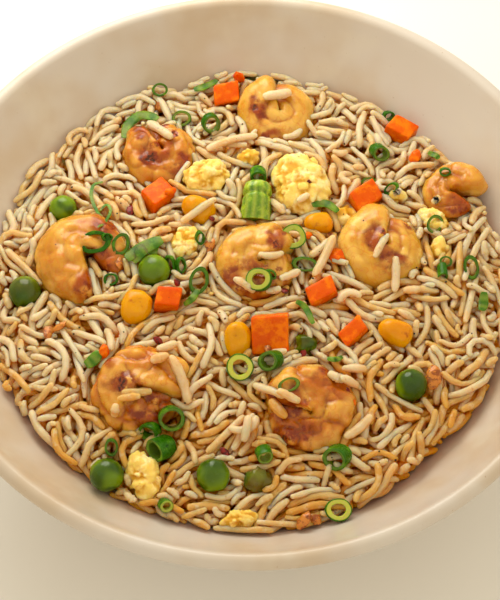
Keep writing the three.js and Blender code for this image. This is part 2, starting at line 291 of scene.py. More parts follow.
def blotch_group():
    group, given, result = new_group(
        "Blotches",
        {
            "Vector": ("NodeSocketVector", None),
            "Size": ("NodeSocketFloat", 5.0),
            "From": ("NodeSocketFloat", 0.4),
            "To": ("NodeSocketFloat", 0.6),
            "Ragged": ("NodeSocketFloat", 3.0),
        },
        {"Mask": "NodeSocketFloat"},
    )
    scale = add(group, "ShaderNodeMath", {0: 1 / MM}, operation="DIVIDE")
    noise = add(group, "ShaderNodeTexNoise", {"Roughness": 0.6})
    spread = add(group, "ShaderNodeMapRange", interpolation_type="SMOOTHSTEP")
    join(
        group,
        ((given, "Size"), (scale, 1)),
        ((given, "Vector"), (noise, "Vector")),
        ((scale, 0), (noise, "Scale")),
        ((given, "Ragged"), (noise, "Detail")),
        ((noise, 0), (spread, "Value")),
        ((given, "From"), (spread, "From Min")),
        ((given, "To"), (spread, "From Max")),
        ((spread, 0), (result, "Mask")),
    )
    return group


def moist_skin_group():
    group, given, result = new_group(
        "Moist Skin",
        {
            "Vector": ("NodeSocketVector", None),
            "Grain": ("NodeSocketFloat", 0.8),
            "Depth": ("NodeSocketFloat", 0.3),
            "Dry": ("NodeSocketFloat", 0.5),
            "Wet": ("NodeSocketFloat", 0.3),
        },
        {"Normal": "NodeSocketVector", "Roughness": "NodeSocketFloat"},
    )
    scale = add(group, "ShaderNodeMath", {0: 1 / MM}, operation="DIVIDE")
    noise = add(group, "ShaderNodeTexNoise", {"Detail": 2.0})
    bump = add(group, "ShaderNodeBump", {"Distance": SKIN_RELIEF * MM})
    film = add(group, "ShaderNodeMapRange", {"From Min": 0.35, "From Max": 0.65})
    join(
        group,
        ((given, "Grain"), (scale, 1)),
        ((given, "Vector"), (noise, "Vector")),
        ((scale, 0), (noise, "Scale")),
        ((noise, 0), (bump, "Height")),
        ((given, "Depth"), (bump, "Strength")),
        ((noise, 0), (film, "Value")),
        ((given, "Wet"), (film, "To Min")),
        ((given, "Dry"), (film, "To Max")),
        ((bump, "Normal"), (result, "Normal")),
        ((film, 0), (result, "Roughness")),
    )
    return group


BLOTCHES = blotch_group()
MOIST_SKIN = moist_skin_group()
print("shader groups:", BLOTCHES.name, "and", MOIST_SKIN.name)

# %% A finish is built up in coats
PLAIN_SPECULAR, COAT_ROUGHNESS = 0.22, 0.15


class Finish:
    """A material whose colour is laid on in coats, each one through a mask."""

    def __init__(self, name, base, depth=0.0, depth_colour=(1.0, 0.5, 0.25), coat=0.0):
        self.material = bpy.data.materials.new(name)
        self.material.use_nodes = True
        self.tree = self.material.node_tree
        self.shader = self.tree.nodes["Principled BSDF"]
        self.place = add(self.tree, "ShaderNodeTexCoord")
        self.shader.inputs["Base Color"].default_value = base
        self.colour = None
        self.base = base
        self.shader.inputs["Subsurface Weight"].default_value = 1.0 if depth else 0.0
        self.shader.inputs["Subsurface Radius"].default_value = depth_colour
        self.shader.inputs["Subsurface Scale"].default_value = depth * MM
        self.shader.inputs["Specular IOR Level"].default_value = PLAIN_SPECULAR
        self.shader.inputs["Coat Weight"].default_value = coat
        self.shader.inputs["Coat Roughness"].default_value = COAT_ROUGHNESS

    def blotches(self, size, low, high, ragged=3.0):
        """A mask of patches about `size` millimetres across, smooth where `ragged` is 0."""
        node = add(self.tree, "ShaderNodeGroup", node_tree=BLOTCHES)
        for label, value in (("Size", size), ("From", low), ("To", high), ("Ragged", ragged)):
            node.inputs[label].default_value = value
        join(self.tree, ((self.place, "Object"), (node, "Vector")))
        return node, "Mask"

    def stored(self, label):
        """A mask from a value stored on the mesh."""
        return add(self.tree, "ShaderNodeAttribute", attribute_name=label), "Fac"

    def ramp(self, mask, low, high):
        """A mask stretched so that it runs from low to high."""
        node = add(self.tree, "ShaderNodeMapRange", {"From Min": low, "From Max": high})
        node.interpolation_type = "SMOOTHSTEP"
        join(self.tree, (mask, (node, "Value")))
        return node, 0

    def times(self, first, second):
        """Where both masks are full."""
        node = add(self.tree, "ShaderNodeMath", operation="MULTIPLY")
        join(self.tree, (first, (node, 0)))
        if isinstance(second, tuple):
            join(self.tree, (second, (node, 1)))
        else:
            node.inputs[1].default_value = second
        return node, 0

    def coat_with(self, colour, mask):
        """Lays a colour over what is there, as strong as the mask."""
        mix = add(self.tree, "ShaderNodeMix", data_type="RGBA")
        if self.colour:
            join(self.tree, (self.colour, (mix, 6)))
        else:
            mix.inputs[6].default_value = self.base
        mix.inputs[7].default_value = colour
        join(self.tree, (mask, (mix, 0)), ((mix, 2), (self.shader, "Base Color")))
        self.colour = (mix, 2)

    def skin(self, grain, depth, wet, dry):
        """Fine bumps and a film of moisture."""
        node = add(self.tree, "ShaderNodeGroup", node_tree=MOIST_SKIN)
        for label, value in (("Grain", grain), ("Depth", depth), ("Dry", dry), ("Wet", wet)):
            node.inputs[label].default_value = value
        join(
            self.tree,
            ((self.place, "Object"), (node, "Vector")),
            ((node, "Normal"), (self.shader, "Normal")),
            ((node, "Roughness"), (self.shader, "Roughness")),
        )
        return self.material


# %% [markdown]
# ## The bowl
#
# A thrown stoneware bowl is a profile turned on a wheel. The inside is part of one sphere, the
# outside runs beside it, the rim is rolled over and the foot is a ring. It could be made with
# Spin or Screw. A node tree that sweeps the profile round a circle does the same and leaves the
# number of steps as an input. A profile point that lies on the axis gives one point for each
# step, so doubles are merged afterwards.

# %% Bowl sizes
BOWL_HEIGHT = 56.0
MOUTH_RADIUS = 82.5
INNER_FLOOR = 8.0
WALL = 4.2
FOOT_RADIUS = 35.0
FOOT_WIDTH = 5.0
FOOT_HOLLOW = 3.2
FOOT_EDGE = 1.2
FOOT_FILLET = 1.4  # the outside starts this far out from the foot
OUTSIDE_STEPS, INSIDE_STEPS, LIP_STEPS = 30, 44, 12
WHEEL_STEPS = 192

inner_depth = BOWL_HEIGHT - INNER_FLOOR
inner_sphere = (MOUTH_RADIUS**2 + inner_depth**2) / (2 * inner_depth)
sphere_centre = INNER_FLOOR + inner_sphere


def height_inside(radius, inset=0.0):
    """Height of the bowl's inner wall, or of a surface that stands off it by the inset."""
    room = np.maximum((inner_sphere - inset) ** 2 - np.asarray(radius, float) ** 2, 0)
    return sphere_centre - np.sqrt(room)


def sphere_arc(sphere_radius, from_radius, to_radius, count):
    sweep = np.linspace(math.asin(from_radius / sphere_radius),
                        math.asin(to_radius / sphere_radius), count)
    return np.stack([sphere_radius * np.sin(sweep),
                     sphere_centre - sphere_radius * np.cos(sweep)], axis=1)


def corner_arc(centre, radius, from_angle, to_angle, count=6):
    sweep = np.radians(np.linspace(from_angle, to_angle, count))
    return np.stack([centre[0] + radius * np.cos(sweep), centre[1] + radius * np.sin(sweep)], axis=1)


def bowl_profile():
    """From the middle underneath, round the foot, up the outside, over the rim and back in."""
    outer_sphere = inner_sphere + WALL
    foot_inside = FOOT_RADIUS - FOOT_WIDTH
    lip = WALL / 2
    slope = math.acos((sphere_centre - BOWL_HEIGHT + lip) / (inner_sphere + lip))
    lip_centre = np.array([(inner_sphere + lip) * math.sin(slope), BOWL_HEIGHT - lip])
    tilt = math.degrees(slope)
    return np.concatenate([
        [[0, FOOT_HOLLOW]],
        corner_arc((foot_inside - FOOT_EDGE, FOOT_HOLLOW - FOOT_EDGE), FOOT_EDGE, 90, 0),
        corner_arc((foot_inside + FOOT_EDGE, FOOT_EDGE), FOOT_EDGE, 180, 270),
        corner_arc((FOOT_RADIUS - FOOT_EDGE, FOOT_EDGE), FOOT_EDGE, 270, 360),
        sphere_arc(outer_sphere, FOOT_RADIUS + FOOT_FILLET, outer_sphere * math.sin(slope),
                   OUTSIDE_STEPS)[:-1],
        corner_arc(lip_centre, lip, tilt - 90, tilt + 90, LIP_STEPS),
        sphere_arc(inner_sphere, 0, inner_sphere * math.sin(slope), INSIDE_STEPS)[-2::-1],
    ])


# %% The potter's wheel as a node tree
def wheel_tree():
    tree, given, result = new_tree(
        "Potter's Wheel", steps="int", wheel_radius="number", merge="number", material="material"
    )
    wheel = add(tree, "GeometryNodeCurvePrimitiveCircle")
    profile = add(tree, "GeometryNodeMeshToCurve")
    turned = add(tree, "GeometryNodeCurveToMesh")
    merged = add(tree, "GeometryNodeMergeByDistance")
    join(
        tree,
        ((given, "Steps"), (wheel, "Resolution")),
        ((given, "Wheel Radius"), (wheel, "Radius")),
        ((given, "Geometry"), (profile, "Mesh")),
        ((wheel, "Curve"), (turned, "Curve")),
        ((profile, "Curve"), (turned, "Profile Curve")),
        ((turned, "Mesh"), (merged, "Geometry")),
        ((given, "Merge"), (merged, "Distance")),
    )
    finish_tree(tree, (merged, "Geometry"), given, result)
    return tree


def chain(count, start=0):
    return [(start + i, start + i + 1) for i in range(count - 1)]


def turned_bowl(material):
    """The profile lies inside a wheel of 100 mm, with its height turned down as a sweep needs."""
    wheel_radius, merge_within = 100.0, 0.01
    profile = bowl_profile()
    points = np.stack([profile[:, 0] - wheel_radius, -profile[:, 1], 0 * profile[:, 0]], axis=1)
    bowl = mesh_object("stoneware_bowl", points, chain(len(points)))
    run_tree(bowl, wheel_tree(), steps=WHEEL_STEPS, wheel_radius=wheel_radius * MM,
             merge=merge_within * MM, material=material)
    outward_normals(bowl)
    return bowl


def outward_normals(piece):
    form = bmesh.new()
    form.from_mesh(piece.data)
    bmesh.ops.recalc_face_normals(form, faces=form.faces)
    if form.calc_volume(signed=True) < 0:
        bmesh.ops.reverse_faces(form, faces=form.faces)
    form.to_mesh(piece.data)
    form.free()


# %% Beige glaze
def glaze_finish():
    finish = Finish("beige glaze", tint(206, 196, 186), coat=0.25)
    finish.coat_with(tint(196, 176, 152), finish.blotches(38, 0.4, 0.68))
    finish.coat_with(tint(212, 202, 186), finish.times(finish.blotches(16, 0.5, 0.8), 0.6))
    finish.coat_with(tint(156, 120, 80), finish.blotches(0.55, 0.71, 0.76))
    return finish.skin(grain=3.0, depth=0.05, wet=0.3, dry=0.4)


bowl = turned_bowl(glaze_finish())
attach(bowl, "root")
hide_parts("bowl")

# %% [markdown]
# ## The core of the heap
#
# Only the outer grains are ever seen. Beneath them lies one solid core, set a few millimetres
# under the top, so that the gaps between the loose grains end in warm shade and not in daylight.
# Its relief is that of packed grains. Its amber colour is partly sauce and partly painted warm
# shade for the gaps.

# %% How high the rice lies
RICE_RADIUS = 70.0
CROWN = 4.5
RICE_OUTLINE = np.array([68, 68, 68, 68, 72.5, 70, 70, 69, 69, 68.5, 67.5, 67, 71, 67, 64.5, 66.5])
LOOSE_DEPTH = 6.4
CORE_RINGS, CORE_SPOKES = 60, 180
CORE_TOP_SHARE = 0.6  # of the rings lie on its top, the others along the bowl
CORE_INSET, CORE_OFF_WALL = 2.5, 0.6
PACKED_RELIEF = ((0.9, 6.0, 31), (0.45, 2.4, 32))


def rice_height(x, y):
    share = np.minimum(np.hypot(x, y) / RICE_RADIUS, 1)
    return height_inside(RICE_RADIUS) + CROWN * (1 - share**2)


def rice_edge(angle):
    """How far out the rice reaches in a direction: the outline wanders in and out."""
    count = len(RICE_OUTLINE)
    step = (np.asarray(angle) / (2 * math.pi) % 1) * count
    before = np.floor(step).astype(int) % count
    share = smooth_step(0, 1, step - np.floor(step))
    return RICE_OUTLINE[before] * (1 - share) + RICE_OUTLINE[(before + 1) % count] * share


# %% Core of packed rice
def core_top(x, y):
    spots = np.stack([x, y, 0 * x], axis=1)
    return rice_height(x, y) - LOOSE_DEPTH + relief(spots, PACKED_RELIEF)


def rice_core():
    share, angle, faces = tube_grid(CORE_SPOKES, CORE_RINGS)
    above = share < CORE_TOP_SHARE
    outwards = np.where(above, share / CORE_TOP_SHARE, (1 - share) / (1 - CORE_TOP_SHARE))
    radius = outwards * (rice_edge(angle) - CORE_INSET)
    x, y = radius * np.cos(angle), radius * np.sin(angle)
    wall = height_inside(radius, CORE_OFF_WALL)
    z = np.where(above, np.maximum(core_top(x, y), wall), wall)
    return mesh_object("packed_rice_core", np.stack([x, y, z], axis=1), faces=faces)


def core_finish():
    # Painted shade: the core's amber is partly sauce and partly painted warm shade for the gaps between
    # the grains.
    finish = Finish("sauce soaked rice", tint(224, 144, 40), depth=1.5)
    finish.coat_with(tint(200, 112, 20), finish.blotches(5, 0.4, 0.62))
    finish.coat_with(tint(228, 170, 80), finish.blotches(2, 0.55, 0.7))
    return finish.skin(grain=1.2, depth=0.6, wet=0.35, dry=0.6)


core = rice_core()
dress(core, core_finish())
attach(core, "root")
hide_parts("rice_heap")
print("core triangles:", facets(core))

# %% [markdown]
# ## Taking a form from the frame
#
# Peas, kernels and curds of egg are round enough that every point of their skin can be seen from
# their middle. So each one is taken from its solid: rays go out from the middle, and where they
# leave the solid is the skin. The facets are then smoothed away and finer bumps put back.

# %% Skins recast from the solids
BALLS = {level: ball_directions(level) for level in (4, 5)}
KEPT_REACH = 0.4  # what smoothing leaves of a point's own distance at each pass


def surface(piece):
    """Points of a mesh in millimetres, and a tree that rays can be cast at."""
    points = np.empty(len(piece.data.vertices) * 3)
    piece.data.vertices.foreach_get("co", points)
    points = points.reshape(-1, 3) / MM
    faces = [tuple(face.vertices) for face in piece.data.polygons]
    return points, BVHTree.FromPolygons(points.tolist(), faces)


def nodes_called(start):
    return [name for name in sorted(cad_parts) if name.startswith(start)]


def recast(node, level, passes):
    """Middle, directions, smoothed distances and triangles of a round solid's skin."""
    points, solid = surface(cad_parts[node])
    middle = (points.min(0) + points.max(0)) / 2
    directions, triangles = BALLS[level]
    reach = np.array([solid.ray_cast(middle, way)[3] or 0 for way in directions])
    pairs = np.array(triangles)[:, [0, 1, 1, 2, 2, 0]].reshape(-1, 2)
    for _ in range(passes):
        total = np.zeros(len(reach))
        met = np.zeros(len(reach))
        np.add.at(total, pairs[:, 0], reach[pairs[:, 1]])
        np.add.at(met, pairs[:, 0], 1)
        reach = KEPT_REACH * reach + (1 - KEPT_REACH) * total / met
    return middle, directions, reach, triangles


toppings = []


def settle_topping(piece, node, material):
    """Every large topping stands for the solid of its own node."""
    dress(piece, material)
    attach(piece, "root")
    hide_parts(node)
    toppings.append(piece)


# %% [markdown]
# ## Prawns
#
# A peeled prawn curls up as it cooks. Its body is a tapering tube on a closing spiral, thick at
# the head end, and the tail is tucked in under the head. Under the shell it had six plates, and
# the meat keeps their folds, most of all along the belly side. A groove runs along each side
# where the plates ended, and well seared meat puffs up between its creases. The body could be
# sculpted. A grid of points placed by formula keeps the folds crisp and lets each prawn differ by
# a few numbers. How flushed, sauced, puffed or charred each point is gets stored on the mesh for
# the finish.

# %% Prawn sizes and places
PRAWN_PLATES = 6
PRAWN_AROUND, PRAWN_ALONG = 64, 150
PRAWN_FLATNESS = 0.86
COIL_EYE = 0.15  # the belly comes no nearer to the middle of the coil
COIL_CLOSING = 0.25
HEAD_END, TAIL_END = 0.085, 0.05  # rounded ends, as shares of the body
TAIL_NARROWING = 0.4
TAIL_TUCK = 0.12  # of the thickness, by which the tail dips under the head
CLOSER_AT_ENDS = 0.5
FOLD_WIDTH, FOLD_DEPTH = 0.3, 0.05
FOLD_SLANT, FOLD_WANDER = 0.15, 0.3
GROOVE_AT, GROOVE_WIDTH, GROOVE_DEPTH = 0.32, 0.11, 0.09
INNER_GROOVE_AT, INNER_GROOVE_WIDTH = -0.25, 0.12
PUFF_SIZE, SMALL_PUFF_SIZE, PUFF_HEIGHT = 4.6, 1.9, 2.6

# x, y and rise over the rice; turn; lean about X and Y; coil, sweep, thickness, flick of the
# tail, how deep the folds are and how much sauce the meat has taken up
PRAWNS = {
    "prawn_1": ((-23.8, 42, 0.4), 120, (10, 0), (5.4, 392, 5.8, 0, 0.5, 0.6)),
    "prawn_2": ((8, 55.8, 0.2), 95, (18, 0), (5.8, 392, 6.2, 0, 0.1, 0.2)),
    "prawn_3": ((-43.2, 9, 0.2), -74, (4, -6), (7.4, -326, 7.3, 1.2, 0.35, 0.5)),
    "prawn_4": ((2.2, 4.6, 0.2), 24, (8, 0), (6.0, 396, 6.5, 0, 0.35, 0.1)),
    "prawn_5": ((35.2, 10.6, 0.2), 78, (6, 4), (6.3, 390, 6.8, 0.8, 0.15, 0.1)),
    "prawn_6": ((-28.2, -32, 0.2), -14, (8, 0), (6.6, 398, 7.0, 0, 0.9, 0.75)),
    "prawn_7": ((15, -38.2, 0.2), 168, (18, 4), (6.4, -396, 6.9, 0, 0.8, 0.9)),
    "prawn_8": ((54.2, 29, 1.4), -5, (4, -16), (4.8, 330, 4.9, 0, 0.4, 0.6)),
}
# Where sauce has stained them and the pan has charred them: picture point, size of the mark in mm.
SAUCE_MARKS = {
    "prawn_1": [(158, 150, 5.0), (140, 130, 3.0), (180, 165, 4.0)],
    "prawn_2": [(258, 108, 3.4), (270, 136, 2.6)],
    "prawn_3": [(86, 284, 5.0), (108, 226, 5.0), (100, 260, 4.0)],
    "prawn_4": [(262, 298, 11.0), (236, 288, 5.5), (268, 268, 4.0), (276, 238, 3.0)],
    "prawn_5": [(374, 236, 4.0), (412, 214, 4.0), (392, 262, 4.0)],
    "prawn_6": [(120, 384, 5.0), (148, 412, 6.0), (104, 356, 3.0)],
    "prawn_7": [(286, 404, 5.5), (332, 374, 4.0), (300, 440, 5.0), (284, 436, 3.0)],
    "prawn_8": [(456, 206, 5.0)],
}
CHAR_MARKS = {
    "prawn_1": [(138, 124, 1.6), (161, 123, 2.2), (174, 134, 1.2), (148, 157, 2.3)],
    "prawn_2": [(254, 107, 1.6)],
    "prawn_4": [(290, 302, 3.0), (262, 306, 2.4), (276, 244, 1.2), (287, 289, 1.2)],
    "prawn_5": [(383, 231, 0.8)],
    "prawn_6": [(123, 381, 1.5), (121, 388, 1.0)],
    "prawn_7": [(332, 371, 1.6), (283, 438, 1.4)],
}


def turn_matrix(lean_x, lean_y, turn):
    """Turned about Z first, then leant about Y, then about X."""
    (cx, cy, cz), (sx, sy, sz) = np.cos((lean_x, lean_y, turn)), np.sin((lean_x, lean_y, turn))
    about_x = np.array([[1, 0, 0], [0, cx, -sx], [0, sx, cx]])
    about_y = np.array([[cy, 0, sy], [0, 1, 0], [-sy, 0, cy]])
    about_z = np.array([[cz, -sz, 0], [sz, cz, 0], [0, 0, 1]])
    return about_x @ about_y @ about_z


def put(points, place, turn, lean):
    x, y, rise = place
    matrix = turn_matrix(*np.radians((*lean, turn)))
    return points @ matrix.T + np.array([x, y, float(rice_height(x, y)) + rise])


# %% Prawn body
def blunt_end(distance, length):
    return np.cbrt(1 - (1 - np.minimum(distance / length, 1)) ** 3)


def prawn_body(share, back, thickness, folds, waver):
    """Radius of the body at each point, and how deep in a fold or groove the point lies."""
    plates = share * PRAWN_PLATES + FOLD_SLANT * back + FOLD_WANDER * waver
    between = np.abs(np.sin(math.pi * plates))
    # folds show best on the belly side, but not down in the eye of the coil
    belly = smooth_step(0.6, -0.2, back)
    from_eye = smooth_step(-0.8, 0.1, back)
    fold = np.exp(-((between / FOLD_WIDTH) ** 2)) * (0.25 + 0.75 * belly) * from_eye * folds
    lobes = (0.015 + 0.1 * belly * folds) * from_eye * (1 - between**0.8)
    # one groove runs along the side and, where the folds are faint, one nearer the belly
    open_ends = smooth_step(0.02, 0.14, share) * smooth_step(0.97, 0.84, share)
    groove = np.exp(-(((back - GROOVE_AT - 0.1 * waver) / GROOVE_WIDTH) ** 2))
    inner = np.exp(-(((back - INNER_GROOVE_AT - 0.2 * waver) / INNER_GROOVE_WIDTH) ** 2))
    groove = np.maximum(0.5 * groove, inner * (1 - folds)) * open_ends
    body = thickness * (1 - TAIL_NARROWING * share**1.4)
    body = body * blunt_end(share, HEAD_END) * blunt_end(1 - share, TAIL_END)
    radius = body * (1 - lobes - FOLD_DEPTH * fold - GROOVE_DEPTH * groove)
    return radius, np.maximum(0.7 * fold, 0.7 * groove)


def on_coil(radius, share, angle, coil, sweep, thickness, flick):
    """Points of a body of this radius, wound up on a closing spiral."""
    back = np.cos(angle)
    spiral = coil * (1 - COIL_CLOSING * share) + flick * smooth_step(0.7, 1, share)
    heading = math.radians(sweep) * share
    from_coil = np.maximum(spiral + radius * back, COIL_EYE)
    up = PRAWN_FLATNESS * radius * np.sin(angle) * math.copysign(1, sweep)
    # the belly fills the middle of the coil, but for a dip
    pressed = smooth_step(0.8 * coil, 0.2, from_coil) * smooth_step(0.05, 0.6, up)
    up = up + 0.36 * thickness * pressed * np.minimum(radius / (0.4 * thickness), 1)
    up = up - TAIL_TUCK * thickness * smooth_step(0.8, 1, share)
    return np.stack([from_coil * np.cos(heading), from_coil * np.sin(heading), up], axis=1)


def prawn(name, seed):
    place, turn, lean, (coil, sweep, thickness, flick, folds, sauced) = PRAWNS[name]
    share, angle, faces = tube_grid(PRAWN_AROUND, PRAWN_ALONG)
    share = share - CLOSER_AT_ENDS * np.sin(2 * math.pi * share) / (2 * math.pi)
    back = np.cos(angle)  # 1 along the back, -1 along the belly
    form = share, angle, coil, sweep, thickness, flick
    plain = on_coil(prawn_body(share, back, thickness, 0, 0)[0], *form)
    waver = bumps(plain, 3.0, seed + 30)
    radius, fold = prawn_body(share, back, thickness, folds, waver)
    # where the random heights pass through nought, a crease parts two puffs
    puffs = np.abs(bumps(plain, PUFF_SIZE, seed) + 0.2 * bumps(plain, SMALL_PUFF_SIZE, seed + 50))
    crease = smooth_step(0.22, 0.0, puffs) * folds
    lumps = PUFF_HEIGHT * folds * (np.sqrt(puffs) - 0.5) + 0.5 * bumps(plain, 5.0, seed + 60)
    lumps = lumps + 0.16 * bumps(plain, 1.6, seed + 70)
    points = put(on_coil(radius + lumps * np.minimum(radius / 3, 1), *form), place, turn, lean)
    flush = np.clip(fold + 0.8 * crease + 0.9 * smooth_step(0.8, 0.95, share), 0, 1)
    sauce, char = marked(points, SAUCE_MARKS[name]), marked(points, CHAR_MARKS.get(name, []))
    return mesh_object(f"{name}_meat", points, faces=faces, flush=flush, sauce=sauce, char=char,
                       sauced=np.full(len(points), sauced), puffy=smooth_step(0.2, 0.5, puffs))


def marked(points, marks):
    """1 within each mark, which is seen from the front, fading out raggedly round it."""
    strength = np.zeros(len(points))
    for across, down, size in marks:
        line = sight_line(across, down)
        offset = points - eye
        aside = np.linalg.norm(offset - np.outer(offset @ line, line), axis=1)
        ragged = aside + 0.5 * size * bumps(points, 0.6 * size, 7)
        strength = np.maximum(strength, smooth_step(1.1 * size, 0.45 * size, ragged))
    return strength


# %% Prawn finish
def prawn_finish():
    finish = Finish("seared prawn meat", tint(212, 160, 50), depth=3.0,
                    depth_colour=(1.0, 0.58, 0.2), coat=0.18)
    finish.coat_with(tint(234, 196, 100), finish.blotches(6, 0.46, 0.66, ragged=1.0))
    amber = finish.times(finish.stored("sauced"), finish.blotches(7, 0.25, 0.55, ragged=1.0))
    finish.coat_with(tint(188, 108, 4), amber)
    puffy = finish.times(finish.stored("puffy"), finish.blotches(6, 0.34, 0.54, ragged=1.0))
    finish.coat_with(tint(224, 172, 76), finish.times(puffy, 0.7))
    veins = finish.times(finish.blotches(3, 0.47, 0.5, ragged=1.0),
                         finish.blotches(3, 0.53, 0.5, ragged=1.0))
    finish.coat_with(tint(204, 92, 14), finish.times(veins, 0.35))
    flush = finish.ramp(finish.stored("flush"), 0.1, 0.9)
    finish.coat_with(tint(186, 90, 6), finish.times(flush, 0.8))
    sauce = finish.stored("sauce")
    finish.coat_with(tint(166, 78, 0), finish.times(sauce, finish.blotches(5, 0.3, 0.55, ragged=1.0)))
    finish.coat_with(tint(134, 48, 2), finish.times(sauce, finish.blotches(2.4, 0.46, 0.62)))
    char = finish.stored("char")
    finish.coat_with(tint(150, 62, 10), finish.ramp(char, 0.05, 0.5))
    finish.coat_with(tint(70, 28, 8), finish.times(finish.ramp(char, 0.45, 0.95),
                                                  finish.blotches(1.0, 0.42, 0.58)))
    finish.shader.inputs["Specular IOR Level"].default_value = 0.28
    return finish.skin(grain=1.5, depth=0.35, wet=0.14, dry=0.34)


PRAWN_MEAT = prawn_finish()
for seed, name in enumerate(PRAWNS):
    settle_topping(prawn(name, seed), name, PRAWN_MEAT)
print("prawns:", len(PRAWNS), "with", facets(toppings[0]), "triangles each")

# %% [markdown]
# ## Peas
#
# A cooked pea is a ball in a thin skin, with a few dimples where it has shrunk. One has crumpled,
# one has split, two show a paler cap, and the oldest have turned olive. The cap is laid on the
# upper side, so it is partly the pea's paler skin and partly painted light on its top. Each is an
# evenly divided ball squeezed into its solid's box, with the cap and the olive stored on it.

# %% Peas
PEA_DIMPLES = {"pea_3": 0.1, "pea_7": 0.44, "pea_8": 0.38}
PLAIN_DIMPLE = 0.035
PALE_AND_LIT_CAPS = {"pea_1": 0.7, "pea_5": 1.0}
OVERCOOKED = {"pea_6": 0.3, "pea_7": 0.55, "pea_8": 0.85}
LARGE_FOLDS, SMALL_FOLDS = 0.8, 0.35  # in radii
CAP_FACES = (0.3, -0.2, 1)


def unit(vector):
    vector = np.asarray(vector, float)
    return vector / np.linalg.norm(vector)


def pea(name, seed):
    low, high = (np.array(corner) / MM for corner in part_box(name))
    directions, triangles = BALLS[4]
    dimple = PEA_DIMPLES.get(name, PLAIN_DIMPLE)
    folds = -np.abs(bumps(directions, LARGE_FOLDS, seed))
    folds = folds + 0.3 * bumps(directions, SMALL_FOLDS, seed + 9)
    radius = 1.0 + dimple * folds
    points = (low + high) / 2 + directions * radius[:, None] * (high - low) / 2
    shade = smooth_step(0.2, 0.9, bumps(directions, 1.3, seed + 4) + 0.4)
    # Painted light: the paler cap lies on the pea's upper side.
    cap = smooth_step(-0.1, 0.7, directions @ unit(CAP_FACES))
    shade = np.maximum(shade, PALE_AND_LIT_CAPS.get(name, 0) * cap)
    olive = OVERCOOKED.get(name, 0) * smooth_step(-0.6, 0.4, bumps(directions, 0.9, seed + 6))
    return mesh_object(f"{name}_skin", points, faces=triangles, ripe=shade, olive=olive)


def pea_finish():
    finish = Finish("green pea skin", tint(54, 84, 0), depth=1.0,
                    depth_colour=(0.6, 1.0, 0.02), coat=0.5)
    finish.shader.inputs["Specular IOR Level"].default_value = 0.08
    # Paler skin and cap: partly the pea's own colour, partly painted light on its top.
    finish.coat_with(tint(126, 158, 4), finish.times(finish.stored("ripe"), 0.7))
    finish.coat_with(tint(64, 94, 0), finish.blotches(4, 0.46, 0.7, ragged=0.0))
    finish.coat_with(tint(112, 92, 22), finish.stored("olive"))
    return finish.skin(grain=1.6, depth=0.25, wet=0.16, dry=0.3)


PEA_SKIN = pea_finish()
PEAS = nodes_called("pea_")
for seed, name in enumerate(PEAS):
    settle_topping(pea(name, 100 + seed), name, PEA_SKIN)
print("peas:", PEAS)

# %% [markdown]
# ## Carrot dice
#
# Carrot is cut with a knife, so its faces are flat and its edges only just rounded by cooking. A
# cube of points is pushed out to a block with rounded edges: each point is pulled back to an
# inner block, and set off from it by the rounding. The cuts run a little out of square.

# %% Carrot sizes and places
DICE_GRID = 14
DICE_ROUNDING = 0.55
CUT_WAVES, CUT_GRAIN = 0.1, 0.05  # how deep the knife's waves and the carrot's fibres are

# x, y and rise; turn; lean about X and Y; length, width, height and how far out of square
CARROTS = {
    "carrot_1": ((-24.6, 27.2, 0.8), 45, (-8, 6), (7.4, 6.6, 5, 0.6)),
    "carrot_2": ((-6.5, 61.8, 1.2), 10, (20, 0), (6.4, 6, 6.6, 0.6)),
    "carrot_3": ((30.6, 26.6, 1.2), 35, (12, 8), (7.4, 6.2, 5.4, 0.6)),
    "carrot_4": ((18.5, -3.6, 1.3), 25, (10, -8), (7.2, 5.2, 4.2, 0.6)),
    "carrot_5": ((-21.2, -5.8, 1), -5, (8, 4), (5.8, 5.4, 6.4, 0.6)),
    "carrot_6": ((5.2, -16.4, 1.9), 4, (38, -4), (9, 9.8, 5, 0.4)),
    "carrot_7": ((26.5, -15, 0.6), 40, (14, -10), (6.8, 4.6, 4.4, 0.6)),
    "carrot_8": ((41.2, 50, 1.4), -30, (0, 10), (6.6, 5.8, 5, 0.6)),
}


def cube_grid(steps):
    """Points and faces of a cube from -1 to 1, with its grid closer near the edges."""
    form = bmesh.new()
    bmesh.ops.create_cube(form, size=2)
    bmesh.ops.subdivide_edges(form, edges=form.edges, cuts=steps - 1, use_grid_fill=True)
    form.verts.ensure_lookup_table()
    points = np.array([corner.co for corner in form.verts])
    faces = [[corner.index for corner in face.verts] for face in form.faces]
    form.free()
    return np.sin(points * math.pi / 2), faces


CUBE_POINTS, CUBE_FACES = cube_grid(DICE_GRID)


def carrot(name, seed):
    place, turn, lean, (length, width, height, skew) = CARROTS[name]
    half = np.array([length, width, height]) / 2
    inner = np.clip(CUBE_POINTS * half, DICE_ROUNDING - half, half - DICE_ROUNDING)
    away = CUBE_POINTS * half - inner
    distance = np.linalg.norm(away, axis=1)[:, None]
    outward = np.maximum(distance, TINY)
    points = inner + DICE_ROUNDING * away / outward
    u, v = CUBE_POINTS[:, 0], CUBE_POINTS[:, 1]
    points = points + np.stack([skew * (u + v) / 2, skew * (u - v) / 4, 0 * u], axis=1)
    fibres = bumps(points * [1, 1, 0.2], 0.7, seed + 3)
    cut = CUT_WAVES * bumps(points, 2.2, seed) + CUT_GRAIN * fibres
    points = points + cut[:, None] * away / outward
    return mesh_object(f"{name}_dice", put(points, place, turn, lean), faces=CUBE_FACES)


